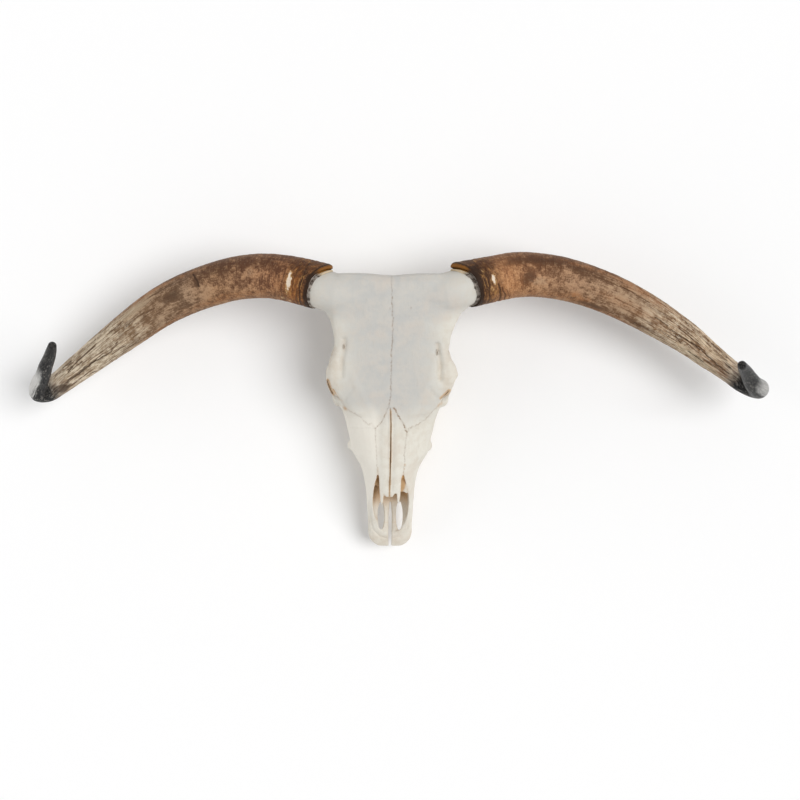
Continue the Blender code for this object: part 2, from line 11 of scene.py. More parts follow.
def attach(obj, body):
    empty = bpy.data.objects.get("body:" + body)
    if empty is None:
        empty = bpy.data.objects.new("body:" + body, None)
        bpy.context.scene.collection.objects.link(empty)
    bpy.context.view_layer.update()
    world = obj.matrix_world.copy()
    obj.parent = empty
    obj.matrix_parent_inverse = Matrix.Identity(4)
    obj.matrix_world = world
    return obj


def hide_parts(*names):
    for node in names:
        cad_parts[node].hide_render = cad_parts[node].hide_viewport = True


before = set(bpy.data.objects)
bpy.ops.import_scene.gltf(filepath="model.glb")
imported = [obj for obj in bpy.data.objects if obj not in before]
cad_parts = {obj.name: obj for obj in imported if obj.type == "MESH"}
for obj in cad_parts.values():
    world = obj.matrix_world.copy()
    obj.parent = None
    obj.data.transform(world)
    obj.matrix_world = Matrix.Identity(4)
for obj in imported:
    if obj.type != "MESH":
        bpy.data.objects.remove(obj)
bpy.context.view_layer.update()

# --------------------------------------------------------------------------------------------------
# The bone of the head, laid down whole: the broad roof of the forehead, the narrow braincase under it,
# the face that tapers to the nose, and the flat nape. It is dry bone, and its parts grow into each other,
# so they are laid as overlapping solids that are fused into one skin, whose creases are then filled.
MM = 0.001
POLL = Vector((-0.0166, 0.229, 0.2095))  # the middle of the ridge between the horns
FACE_SLOPE = math.radians(10.5)
NOSE_TURN = math.radians(0.3)
TURN = Matrix.Rotation(-NOSE_TURN, 3, "Z")
SIDE = TURN @ Vector((1, 0, 0))
FORWARD = TURN @ Vector((0, -math.cos(FACE_SLOPE), -math.sin(FACE_SLOPE)))
DOWN = SIDE.cross(FORWARD)
AXES = Matrix((SIDE, FORWARD, DOWN))

# Stations of the lofts in millimetres: s along the face from the poll, half width, the depths below the
# forehead of the top, of the widest line and of the bottom, and how square the section is above and below
# that line.
ROOF = (
    (4, 96, 9, 26, 46, 3.0, 2.4),
    (14, 106, 2, 26, 50, 3.4, 2.4),
    (40, 110, -1, 27, 52, 3.6, 2.4),
    (72, 109, 0, 26, 50, 3.6, 2.4),
    (100, 106, 1, 25, 44, 3.6, 2.4),
    (128, 103, 2, 24, 40, 3.6, 2.4),
    (150, 105, 3, 24, 40, 3.6, 2.4),
    (172, 115, 4, 24, 40, 3.4, 2.4),
    (190, 117, 4, 27, 40, 3.2, 2.4),
    (212, 112, 4, 32, 44, 3.0, 2.4),
    (232, 98, 4, 38, 50, 2.8, 2.4),
    (262, 78, 4, 44, 60, 2.6, 2.4),
)
BRAINCASE = (
    (34, 74, 22, 92, 146, 3, 3),
    (60, 63, 20, 90, 154, 3, 3),
    (90, 58, 20, 88, 150, 3, 3),
    (120, 54, 20, 84, 142, 3, 3),
    (150, 47, 20, 80, 132, 3, 3),
    (180, 40, 20, 76, 126, 3, 3),
    (210, 42, 20, 76, 126, 3, 3),
    (250, 58, 20, 76, 128, 3, 3),
)
FACE = (
    (216, 76, 6, 62, 120, 2.8, 3),
    (230, 95, 5, 62, 124, 2.6, 3),
    (246, 96, 4, 68, 130, 2.4, 3.2),
    (262, 92, 3, 74, 140, 2.2, 3.4),
    (280, 86, 2, 80, 146, 2.1, 3.6),
    (308, 80, 1, 84, 146, 2.0, 3.8),
    (326, 75, 0, 84, 143, 2.0, 3.8),
    (342, 74, 0, 84, 139, 2.0, 3.8),
    (356, 65.5, 0, 83, 134, 2.0, 3.6),
    (370, 57, 0, 82, 130, 2.0, 3.2),
    (386, 51.5, 2, 80, 122, 2.1, 3),
    (402, 48, 8, 76, 112, 2.4, 3),
    (418, 45.5, 16, 72, 102, 2.8, 3),
    (445, 43.7, 28, 70, 92, 3, 3),
    (478, 42, 46, 70, 86, 3, 3),
    (502, 41.5, 58, 71, 83, 3, 3),
    (514, 39, 62, 72, 81, 3, 3),
    (523, 32, 66, 73, 79, 3, 3),
    (529, 23, 69, 74, 78, 3, 3),
)
NOSE_BONES = (
    (236, 20, 4, 16, 22, 2.2, 2.4),
    (262, 24, 2, 15, 20, 2.2, 2.4),
    (292, 28, 0, 14, 19, 2.2, 2.4),
    (330, 27, -1, 13, 18, 2.2, 2.4),
    (370, 25, -0.5, 12, 17, 2.2, 2.4),
    (405, 23, 1.5, 12, 17, 2.2, 2.4),
    (430, 20, 4, 12, 16, 2.2, 2.4),
    (452, 17, 7, 12.5, 15.5, 2.2, 2.4),
)
# The nape, from the poll down: depth, half width, and where it begins and ends along s.
NAPE = (
    (16, 108, 2, 56),
    (45, 102, 10, 60),
    (75, 102, 20, 66),
    (100, 104, 29, 76),
    (122, 94, 36, 86),
    (140, 66, 43, 92),
    (158, 42, 51, 96),
)
RIGHT_BROW = 8.5  # how much further out the right brow stands than the left one
BROW, BROW_REACH = 188, 22  # where along s that is, and over what length
BROW_DEPTH = 5  # only sections that start above this depth have it
# Rods of bone: (x, s, d, radius). First the necks that carry the horns, of which the right one is fuller.
LEFT_NECK = ((98, 108, 25, 8), (100, 90, 27, 10), (106, 68, 34, 15.5), (122, 52, 42, 20))
RIGHT_NECK = (
    (97, 142, 25, 10), (98, 118, 26, 12.5), (102, 93, 28, 17), (111, 66, 34, 21), (126, 54, 42, 21),
)
SOCKET_RIM = (
    (111, 182, 26, 8), (110, 206, 30, 8), (104, 224, 42, 8), (98, 235, 60, 10), (100, 233, 80, 11),
    (106, 212, 95, 11), (107, 186, 98, 11), (102, 163, 90, 10), (99, 151, 66, 9), (101, 156, 42, 9),
    (106, 170, 29, 8),
)
CHEEK_ARCH = ((104, 178, 98, 7), (98, 148, 95, 6.5), (95, 120, 98, 7), (91, 97, 103, 8), (84, 76, 106, 10))
SKULL_BASE = ((0, 52, 154, 18), (0, 100, 150, 15), (0, 150, 140, 13), (0, 212, 128, 12))
NAPE_CREST = ((0, 17, 34, 8), (0, 20, 52, 8), (0, 27, 74, 11), (0, 38, 96, 8))
JUGULAR_PROCESS = ((72, 58, 112, 12), (69, 62, 140, 9), (65, 68, 168, 7), (60, 74, 200, 5.5))
EAR_TUBE = ((60, 84, 122, 11), (90, 70, 116, 10))
THROAT_WING = ((24, 160, 134, 6), (25, 200, 140, 6), (28, 244, 140, 7))
WING_HOOK = ((25, 186, 148, 4.5), (27, 181, 172, 3.5))
PALATE_END = ((30, 236, 140, 7), (50, 262, 140, 8))
RING_COUNT, ROD_COUNT, CORE_COUNT = 40, 20, 32  # corners of a loft's ring, a rod's and a horn core's
DOME = ((0.9, 0.4), (0.5, 0.86))  # how a rod's end closes: how far beyond it, and how wide, for its radius
SKULL_VOXEL = 2.0
FILL_PASSES = 36
RELAX = 0.6  # how far a point moves towards its neighbours in each pass


def at(x, s, d):
    """A point of the skull, from millimetres across, along and down."""
    return POLL + (SIDE * x + FORWARD * s + DOWN * d) * MM


def ring(bm, centre, across, up, rise, fall, square_up=2.0, square_down=2.0, count=RING_COUNT, right=1.0):
    """A closed loop of edges, with its own height and squareness above and below its widest line. Its right
    half is right times as wide."""
    circle = bmesh.ops.create_circle(bm, segments=count, radius=1)["verts"]
    for vert in circle:
        c, t = vert.co.x, vert.co.y
        power = 2 / (square_up if t > 0 else square_down)
        width = math.copysign(abs(c) ** power, c) * (right if c > 0 else 1)
        height = math.copysign(abs(t) ** power, t) * (rise if t > 0 else fall)
        vert.co = centre + across * width + up * height
    return list({edge for vert in circle for edge in vert.link_edges})


def skin_over(bm, loops):
    """One closed surface through the loops, with its two ends filled."""
    for first, second in zip(loops, loops[1:]):
        bmesh.ops.bridge_loops(bm, edges=first + second)
    for end in (loops[0], loops[-1]):
        bmesh.ops.contextual_create(bm, geom=end)


def loft(bm, stations):
    """A closed skin through the stations, whose right half swells a little at the brow."""
    loops = []
    for s, half, top, side, bottom, *squares in stations:
        rise, fall = (side - top) * MM, (bottom - side) * MM
        right = 1 + RIGHT_BROW / half * math.exp(-(((s - BROW) / BROW_REACH) ** 2)) * (top < BROW_DEPTH)
        loops.append(ring(bm, at(0, s, side), SIDE * half * MM, -DOWN, rise, fall, *squares, right=right))
    skin_over(bm, loops)


def ball(bm, x, s, d, half_x, half_s, half_d):
    """An ellipsoid with its half sizes across, along and down."""
    size = Matrix.Diagonal((half_x * MM, half_s * MM, half_d * MM))
    place = (AXES.transposed() @ size).to_4x4()
    place.translation = at(x, s, d)
    bmesh.ops.create_uvsphere(bm, u_segments=32, v_segments=20, radius=1, matrix=place)


def sweep(bm, path, count=ROD_COUNT, tall=1.0, upright=None):
    """A tapering rod through (point, radius), closed by short domes, tall times as deep along upright."""
    spots, sizes = zip(*path)
    first, last = (spots[1] - spots[0]).normalized(), (spots[-1] - spots[-2]).normalized()
    stations = [(spots[0] - first * sizes[0] * reach, first, sizes[0] * share) for reach, share in DOME]
    for i, (spot, size) in enumerate(path):
        ahead = (spots[min(i + 1, len(spots) - 1)] - spots[max(i - 1, 0)]).normalized()
        stations.append((spot, ahead, size))
    for reach, share in reversed(DOME):
        stations.append((spots[-1] + last * sizes[-1] * reach, last, sizes[-1] * share))
    loops = []
    wide = first.cross(upright) if upright else first.orthogonal()
    for centre, ahead, size in stations:
        wide = (wide - ahead * wide.dot(ahead)).normalized()
        loops.append(ring(bm, centre, wide * size, ahead.cross(wide), size * tall, size * tall, count=count))
    skin_over(bm, loops)


def rod(bm, points, side=1, tall=1.0, upright=None):
    """A tapering rod through points (x, s, d, radius) of the skull, on the side that side says."""
    sweep(bm, [(at(side * x, s, d), radius * MM) for x, s, d, radius in points], tall=tall, upright=upright)


def finished_mesh(bm, name):
    """The bmesh as an object whose faces point out."""
    bmesh.ops.recalc_face_normals(bm, faces=bm.faces)
    mesh = bpy.data.meshes.new(name)
    bm.to_mesh(mesh)
    bm.free()
    obj = bpy.data.objects.new(name, mesh)
    bpy.context.scene.collection.objects.link(obj)
    return obj


def applied(obj):
    """Gives obj the mesh that its modifiers make, and removes them."""
    graph = bpy.context.evaluated_depsgraph_get()
    old = obj.data
    obj.data = bpy.data.meshes.new_from_object(obj.evaluated_get(graph))
    obj.modifiers.clear()
    bpy.data.meshes.remove(old)
    return obj


def fused(obj, voxel):
    """Makes all that overlaps in obj one closed skin of even faces, voxel millimetres wide."""
    skin = obj.modifiers.new("fuse", "REMESH")
    skin.mode = "VOXEL"
    skin.voxel_size = voxel * MM
    return applied(obj)


def points_of(mesh, what="co"):
    """The places of a mesh's vertices, or their normals, as rows."""
    values = np.zeros(len(mesh.vertices) * 3)
    mesh.vertices.foreach_get(what, values)
    return values.reshape(-1, 3)


def move_to(mesh, points):
    """Moves a mesh's vertices to the points."""
    mesh.vertices.foreach_set("co", points.ravel())
    mesh.update()


def neighbours(mesh):
    """For each vertex the mean place of those that it is joined to, as a function of the places."""
    ends = np.zeros(len(mesh.edges) * 2, np.int32)
    mesh.edges.foreach_get("vertices", ends)
    a, b = ends.reshape(-1, 2).T
    count = len(mesh.vertices)
    valence = np.maximum(np.bincount(a, minlength=count) + np.bincount(b, minlength=count), 1)

    def mean(values):
        columns = [np.bincount(a, c[b], count) + np.bincount(b, c[a], count) for c in values.T]
        return np.stack(columns, 1) / valence[:, None]

    return mean


def relaxed(obj, passes, fill_only=False):
    """Smooths obj. With fill_only just the creases fill, as bone rounds the foot of each ridge."""
    mesh = obj.data
    mean = neighbours(mesh)
    points = points_of(mesh)
    for step in range(passes):
        if fill_only and step % 4 == 0:
            move_to(mesh, points)
            out = points_of(mesh, "normal")
        move = mean(points) - points
        if fill_only:
            move = out * np.clip((move * out).sum(1), 0, None)[:, None]
        points = points + move * RELAX
    move_to(mesh, points)
    return obj


# The horn cores, on which the bone runs on into each horn's hollow: how far out from the horn's mouth,
# how far from the horn's middle towards the nose, and the radius. Their lines are (x, y, z) at the mouth
# and further out.
CORE = (
    (-75, 6, 28), (-36, 9, 37.5), (-16, 7, 36.8), (0, 5, 35.5), (12, 3.5, 34.5), (30, 2, 32.5),
    (55, 1, 29.5), (72, 0, 25),
)
CORE_LINES = (((-147, 209, 166), (-240, 228, 152)), ((114, 210, 166), (213, 230, 152)))

clay = bmesh.new()
for stations in (ROOF, BRAINCASE, FACE, NOSE_BONES):
    loft(clay, stations)
nape = []
for d, half, back, front in NAPE:
    reach = (front - back) / 2 * MM
    nape.append(ring(clay, at(0, (back + front) / 2, d), SIDE * half * MM, FORWARD, reach, reach, 2.6, 3.4))
skin_over(clay, nape)
rod(clay, SKULL_BASE)
rod(clay, NAPE_CREST)
for mouth, further in CORE_LINES:
    mouth, ahead = Vector(mouth), (Vector(further) - Vector(mouth)).normalized()
    toward_nose = (FORWARD - ahead * FORWARD.dot(ahead)).normalized()
    path = [((mouth + ahead * out + toward_nose * low) * MM, radius * MM) for out, low, radius in CORE]
    sweep(clay, path, CORE_COUNT)
rod(clay, LEFT_NECK, -1)
rod(clay, RIGHT_NECK)
for side in (-1, 1):
    rod(clay, SOCKET_RIM, side)
    rod(clay, CHEEK_ARCH, side, 1.5, DOWN)
    ball(clay, side * 97, 244, 78, 12, 16, 14)  # the cheekbone under the eye
    ball(clay, side * 72, 102, 112, 30, 16, 10)  # where the jaw hinged
    ball(clay, side * 72 - 1, 336, 85, 8.5, 10, 9)  # the knob at the side of the face
    ball(clay, side * 31, 44, 148, 19, 25, 24)  # the joint knob of the neck
    rod(clay, JUGULAR_PROCESS, side, 2.0, FORWARD)
    ball(clay, side * 43, 92, 150, 12, 18, 18)  # the ear bone
    rod(clay, EAR_TUBE, side)
    rod(clay, THROAT_WING, side, 2.2, DOWN)
    rod(clay, WING_HOOK, side)
    rod(clay, PALATE_END, side, 1.6, DOWN)
skull = relaxed(fused(finished_mesh(clay, "skull"), SKULL_VOXEL), FILL_PASSES, True)

# --------------------------------------------------------------------------------------------------
# What is open in the bone: the eye sockets, the nose behind and under the nose bones, the arched roof of
# the mouth, the throat, the hole for the spinal cord, and the two long slots in the front of the palate.
# Each is cut by a solid of the hollow's own shape.
FINE_VOXEL, SLOT_VOXEL = 1.25, 1.0
EYE_SOCKET = ((96, 194, 62), (48, 31, 27))  # (x, s, d) of its middle, and its half sizes
NOSE_HOLLOW = (
    (292, 14, 14, 60, 96, 2.4, 2.4),
    (320, 22, 8, 60, 108, 2.6, 2.6),
    (352, 27, 6.5, 62, 108, 3, 3),
    (380, 29, 8, 58, 100, 3.2, 2.6),
    (405, 31, 12, 44, 88, 3.4, 2.2),
    (425, 32, 18, 36, 78, 3.4, 2.0),
    (446, 32, 10, 34, 71, 3.6, 2.0),
)
MOUTH_ROOF = (
    (222, 30, 128, 158, 190, 2.4, 2),
    (250, 38, 122, 158, 190, 2.6, 2),
    (300, 37, 120, 154, 190, 2.6, 2),
    (350, 31, 114, 150, 190, 2.6, 2),
    (392, 27, 108, 140, 190, 2.4, 2),
    (420, 24, 100, 130, 190, 2.4, 2),
)
# The opening in front of the nose bones, (x, s), with a slot that runs back on each side of them.
OPENING_LEFT = (
    (0, 419), (-1.5, 415), (-3.4, 417), (-7.5, 416.5), (-11.6, 410.5), (-12.2, 423), (-14, 446),
    (-17.8, 425), (-19.2, 404), (-20.4, 382), (-22.4, 361.5), (-24.1, 380), (-27.6, 393), (-29.8, 404.4),
    (-31, 418.1), (-32, 437.5), (-30.2, 452.2), (-27.2, 467.2), (-20, 477), (-8, 482),
)
OPENING_RIGHT = (
    (8, 482), (21, 477), (30, 467), (32.6, 452), (35.2, 435.2), (34, 418), (31.9, 403.2), (27.8, 388.2),
    (24.6, 370.5), (20.8, 384.6), (20.2, 403.6), (18.4, 425), (15, 445), (13, 423), (12.4, 409.5),
    (8.6, 410.5), (6, 415), (4.6, 418), (2.4, 415.5),
)
OPENING = OPENING_LEFT + OPENING_RIGHT
# The narrow slit between the two front bones, widening towards the front.
FRONT_SLIT = (
    (-0.6, 440), (1.6, 440), (3.4, 470), (3.4, 496), (2.4, 540), (-2.4, 540), (-3.4, 496), (-3, 470),
)
# The shelves of bone that show in the slots, where the side wall folds in: outline and depth.
SHELVES = (
    (((-18.5, 362), (-25, 370), (-26.5, 383), (-19, 383)), 15),
    (((-18, 380), (-28, 381), (-33, 396), (-33, 401), (-26, 398), (-18, 402)), 21),
    (((18.5, 368), (26.5, 373), (28.5, 384), (18, 384)), 15),
    (((18, 382), (29, 382), (37, 400), (37, 411), (30, 414), (25, 410), (17, 412)), 20),
)
SHELF_THICK = 3


def drawn_out(bm, corners, shift):
    """A block that is the face with these corners, drawn out by shift."""
    face = bm.faces.new([bm.verts.new(corner) for corner in corners])
    far = bmesh.ops.extrude_face_region(bm, geom=[face])["geom"]
    bmesh.ops.translate(bm, vec=shift, verts=[v for v in far if isinstance(v, bmesh.types.BMVert)])


def prism(bm, outline, top, bottom):
    """A block with an outline of (x, s) that runs from one depth to another."""
    drawn_out(bm, [at(x, s, top) for x, s in outline], DOWN * (bottom - top) * MM)


def side_prism(bm, outline, start, end):
    """A block with an outline of (s, d) that runs across the skull from one x to another."""
    drawn_out(bm, [at(start, s, d) for s, d in outline], SIDE * (end - start) * MM)


def combined(obj, other, operation):
    """Cuts other from obj, adds it or keeps what both share, and removes other."""
    cut = obj.modifiers.new(operation.lower(), "BOOLEAN")
    cut.operation = operation
    cut.solver = "MANIFOLD"
    cut.object = other
    applied(obj)
    spent = other.data
    bpy.data.objects.remove(other)
    bpy.data.meshes.remove(spent)
    return obj


hollows = bmesh.new()
(socket_x, socket_s, socket_d), socket_sizes = EYE_SOCKET
for side in (-1, 1):
    ball(hollows, side * socket_x, socket_s, socket_d, *socket_sizes)
    # the hollow behind the eye, deeper beside the braincase
    ball(hollows, side * 70, 150, 64, 24, 50, 26)
    ball(hollows, side * 62, 128, 60, 9, 30, 22)
loft(hollows, NOSE_HOLLOW)
combined(skull, fused(finished_mesh(hollows, "hollows"), SKULL_VOXEL), "DIFFERENCE")

mouth = bmesh.new()
loft(mouth, MOUTH_ROOF)
ball(mouth, 0, 238, 122, 17, 34, 14)  # the throat, up into the nose
ball(mouth, 0, 70, 132, 20, 50, 20)  # the hole for the spinal cord
combined(skull, fused(finished_mesh(mouth, "mouth"), SKULL_VOXEL), "DIFFERENCE")

opening = bmesh.new()
prism(opening, OPENING, -20, 44)
combined(skull, finished_mesh(opening, "opening"), "DIFFERENCE")

slots = bmesh.new()
ball(slots, 1.5, 442, 38, 33, 74, 35)
for side in (-1, 1):
    ball(slots, side * 18, 471, 78, 7, 31, 30)
prism(slots, FRONT_SLIT, 40, 100)
combined(skull, fused(finished_mesh(slots, "slots"), SLOT_VOXEL), "DIFFERENCE")

shelves = bmesh.new()
for outline, top in SHELVES:
    prism(shelves, outline, top, top + SHELF_THICK)
combined(skull, finished_mesh(shelves, "shelves"), "UNION")
relaxed(fused(skull, FINE_VOXEL), 4)

# --------------------------------------------------------------------------------------------------
# The fine relief of the bone: the wandering joints between its bones, the grooves and slits above the
# eyes, the ridges of the nose, and the small pores that blood vessels left. Most of it is drawn on the
# skin as strokes, and each hole is cut.
PORE_VOXEL = 0.5
# The joint lines, as (x, s) in millimetres, as one looks down on the face.
MIDLINE = (
    (1.3, -6), (2.1, 49), (4.3, 85), (3.5, 122), (1.7, 159), (1.6, 196), (0.7, 224), (-1.7, 238), (-3, 248),
)
NOSE_ROOT_LEFT = ((-3, 248), (-4.7, 249), (-11.8, 267), (-20.1, 279.2), (-27.3, 287.1))
NOSE_ROOT_RIGHT = (
    (6.3, 248.2), (10, 252.7), (13.5, 261.1), (20.8, 272.1), (26.3, 283.3), (27.3, 288.8), (30.9, 294.4),
)
TEAR_LEFT = (
    (-27.3, 287.1), (-34.8, 279.2), (-40, 281.1), (-48.2, 276), (-57.2, 267.3), (-71.6, 259.1),
    (-83, 254), (-97, 236), (-128, 222),
)
TEAR_RIGHT = (
    (30.9, 294.4), (33.5, 288), (44.5, 283.5), (57.2, 278.3), (68.2, 268.6), (79.2, 257.8), (90.5, 252),
    (99, 234), (128, 222),
)
NOSE_SIDE_LEFT = ((-27.3, 287.1), (-27, 310.2), (-24.9, 336.5), (-23.6, 369))
NOSE_SIDE_RIGHT = ((30.9, 294.4), (28.2, 316.8), (26.2, 336.5), (28, 353.5), (25.8, 361.1), (24.6, 371))
# The open slit between the nose bones: (x, s, half its width).
NOSE_SLIT = (
    (-3, 240, 0.15), (0.4, 250, 0.25), (1.6, 280, 0.6), (1.1, 336, 0.85), (0, 384, 0.6), (-0.6, 407, 0.3),
    (-0.6, 430, 0.2),
)
GROOVE = -0.2  # the height of the relief on a joint line
POLL_DIP = 5.0  # how far the ridge between the horns is hollowed in its middle
GRAINS = ((0.35, 26), (0.14, 8), (0.06, 3))  # the height and the size of the bone's unevenness
BROW_GROOVES = (
    ((-84, 124), (-86, 146), (-89.5, 166), (-90, 190)),
    ((86, 132), (88.5, 150), (91.5, 170), (91, 196)),
)
SOCKET_NOTCH = ((-105, 218), (-101, 226), (-95, 236))
# Strokes: the line, its half width and its height.
STROKES = (
    (BROW_GROOVES[0], 5, -3.4),
    (BROW_GROOVES[1], 5, -4.8),
    (((-98, 146), (-104, 172), (-106, 196)), 6, 1.2),
    (((102, 150), (110, 176), (111, 198)), 6, 1.6),
    (((-83.9, 150), (-78.2, 170.6), (-67.4, 195.9), (-48.8, 229.9), (-33, 262)), 6, 0.9),
    (((80, 160), (75, 187.2), (60.5, 224.3), (40, 262)), 6, 0.9),
    (((-12.5, 262), (-13, 330), (-11, 402)), 5.5, 1.1),
    (((14, 262), (13.5, 330), (11, 402)), 5.5, 1.1),
    (((-4.2, 262), (-4, 330), (-4, 404)), 2.2, -0.9),
    (((6.2, 262), (5.6, 330), (3.6, 404)), 2.2, -0.9),
    (((-38.5, 436), (-37, 470), (-32.5, 494), (-20, 508), (-6, 512)), 2.2, -1.5),
    (((38.5, 436), (37, 470), (32.5, 494), (20, 508), (6, 512)), 2.2, -1.5),
    (((-31, 470), (-26, 486), (-12, 494)), 2, -0.9),
    (((31, 470), (26, 486), (12, 494)), 2, -0.9),
    (((-9, 30), (-7, 120)), 7, 0.5),
    (((14, 30), (12, 120)), 7, 0.5),
    (((-70, 214), (-84, 232), (-86, 250)), 4, -1.3),
    (((72, 214), (86, 232), (88, 248)), 4, -1.3),
    (SOCKET_NOTCH, 1.8, -1.8),
    (((-96, 216), (-89, 236)), 4, 0.8),
)
# The clefts in the sockets' rims, and how dark they are.
CLEFTS = ((((-116, 202), (-113.2, 213), (-107, 229)), 0.6), (((107.5, 220), (102, 227), (95, 233)), 0.35))
CLEFT_HALF = 0.8
# Pores and slits in the forehead: (x, s, d), half width, half length and how dark they are.
PORES = ((-84.4, 136, 6, 0.35, 3.4, 0.25), (85.2, 146, 6, 0.35, 4.0, 0.35), (36.7, 63.1, 1, 0.8, 0.8, 0.7))
PORE_DEPTH = 3
SWAY_FADE = 4  # a joint line doesn't sway at its ends, and only reaches its full sway this far from them


def wandering(line, size, seed, pitch=5.0, step=1.4):
    """The points of a line, closely spaced, swaying to both sides by about size as a joint of bone does."""
    total = sum(math.dist(a[:2], b[:2]) for a, b in zip(line, line[1:]))
    run, swayed = 0.0, []
    for a, b in zip(line, line[1:]):
        length = math.dist(a[:2], b[:2])
        across, along = b[0] - a[0], b[1] - a[1]
        count = max(1, round(length / step))
        for i in range(count):
            part = run + length * i / count
            sway = noise.noise(Vector((part / pitch, seed * 7.3, 0)))
            sway += 0.6 * noise.noise(Vector((part / pitch * 2.9, seed * 3.1, 5)))
            sway *= size * 1.6 * min(1, part / SWAY_FADE, (total - part) / SWAY_FADE)
            x = a[0] + across * i / count - along / length * sway
            s = a[1] + along * i / count + across / length * sway
            swayed.append((x, s))
        run += length
    return [*swayed, tuple(line[-1][:2])]


SEAMS = {
    "midline": wandering(MIDLINE, 0.9, 1, 7),
    "nose_root_left": wandering(NOSE_ROOT_LEFT, 0.7, 2),
    "nose_root_right": wandering(NOSE_ROOT_RIGHT, 0.7, 3),
    "tear_left": wandering(TEAR_LEFT, 1.6, 4),
    "tear_right": wandering(TEAR_RIGHT, 1.6, 5),
    "nose_side_left": wandering(NOSE_SIDE_LEFT, 0.5, 6),
    "nose_side_right": wandering(NOSE_SIDE_RIGHT, 0.9, 7),
}


def felt(mesh):
    """Where the points of a mesh are on the skull: columns of x, s and d."""
    return (points_of(mesh) - np.array(POLL)) @ np.array(AXES).T / MM


def reach_of(spots, line, most=12.0):
    """How far each of the spots is from a line, up to most millimetres."""
    line = np.array(line, float)[:, : spots.shape[1]]
    best = np.full(len(spots), most)
    near = np.flatnonzero(np.all((spots > line.min(0) - most) & (spots < line.max(0) + most), axis=1))
    close, here = spots[near], best[near]
    for a, b in zip(line, line[1:]):
        run = b - a
        part = np.clip((close - a) @ run / max(run @ run, 1e-9), 0, 1)
        here = np.minimum(here, np.linalg.norm(close - a - part[:, None] * run, axis=1))
    best[near] = here
    return best


def beside(spots, line, width, most=12.0):
    """1 on a line, and less with the distance from it, until little is left at twice the width."""
    return np.exp(-((reach_of(spots, line, most) / width) ** 2))


def grain(points, seed=0):
    """Smooth noise from -1 to 1 at each of the points."""
    shift = Vector((seed * 17.1, seed * 5.3, seed * 9.7))
    return np.array([noise.noise(Vector(point) + shift) for point in points])


pores = bmesh.new()
for x, s, d, half_x, half_s, _ in PORES:
    ball(pores, x, s, d, half_x, half_s, PORE_DEPTH)
for side in (-1, 1):
    ball(pores, side * 76, 348, 92, 9, 6, 3.4)  # the opening at the side of the face
    ball(pores, side * 17, 392, 104, 3, 5, 6)  # and the one in the palate
for line, _ in CLEFTS:
    edge = [(x - CLEFT_HALF, s) for x, s in line] + [(x + CLEFT_HALF, s) for x, s in reversed(line)]
    prism(pores, edge, 0, 62)
combined(skull, fused(finished_mesh(pores, "pores"), PORE_VOXEL), "DIFFERENCE")

spots = felt(skull.data)
flat = spots[:, :2]
facing = points_of(skull.data, "normal")
upward = np.clip(-(facing @ np.array(DOWN)) * 1.6 - 0.2, 0, 1) * (spots[:, 2] < 100)
rise = np.zeros(len(spots))
for line, width, height in STROKES:
    rise += height * beside(flat, line, width, width * 3) * upward
for line in SEAMS.values():
    rise += GROOVE * beside(flat, line, 1.0) * upward
rise += sum(height * grain(spots / size, seed) for seed, (height, size) in enumerate(GRAINS))
dip = POLL_DIP * np.exp(-((spots[:, 0] / 36) ** 2)) * np.clip(1 - spots[:, 1] / 40, 0, 1)
forward = np.array(FORWARD) * (dip * (spots[:, 2] < 60))[:, None]
move_to(skull.data, points_of(skull.data) + (facing * rise[:, None] + forward) * MM)

# --------------------------------------------------------------------------------------------------
# The bones that the head is made of: frontals, nasals, the upper jaw with its teeth, cheekbones, temporals,
# occiput and braincase. Each is dry bone, grey on the forehead and cream below, tan where it is thin or
# shaded. They are cut apart along their joints by blocks with wandering edges.
GAP = 0.08  # millimetres between two bones
# On bone the tan stain also carries painted shade: in the nose's hollow, in the brow grooves and at the
# poll.
MARKS = "marks"  # colours laid down on a piece's points. On bone: joint line, grey, tan stain and tooth.
# How dark each joint line is, and the others.
SEAM_SHOWS = {"midline": 0.44, "nose_root_left": 0.5, "nose_root_right": 0.75, "nose_side_left": 0.2}
SEAM_PLAIN = 0.3


def largest(obj):
    """Drops the crumbs that a cut leaves beside the bone."""
    for other in bpy.context.selected_objects:
        other.select_set(False)
    bpy.context.view_layer.objects.active = obj
    obj.select_set(True)
    bpy.ops.mesh.separate(type="LOOSE")
    bodies = sorted(bpy.context.selected_objects, key=lambda body: len(body.data.vertices))
    obj.data, bodies[-1].data = bodies[-1].data, obj.data
    for crumb in bodies:
        if crumb != obj:
            bpy.data.objects.remove(crumb)
    return obj


def taken(source, cutter, operation):
    """What a cut leaves of a copy of source."""
    obj = bpy.data.objects.new("bone", source.data.copy())
    bpy.context.scene.collection.objects.link(obj)
    return largest(combined(obj, cutter, operation))


def block(lay, *values):
    """What lay puts into a bmesh, as an object."""
    bm = bmesh.new()
    lay(bm, *values)
    return finished_mesh(bm, "block")


def peeled(source, shape):
    """The bone of source inside shape(0), which leaves source with a gap there."""
    bone = taken(source, shape(0), "INTERSECT")
    combined(source, shape(GAP), "DIFFERENCE")
    return bone


def mirrored(edge):
    """An outline across both sides from the points of its right half."""
    return [(-x, s) for x, s in reversed(edge) if x > 0] + list(edge)


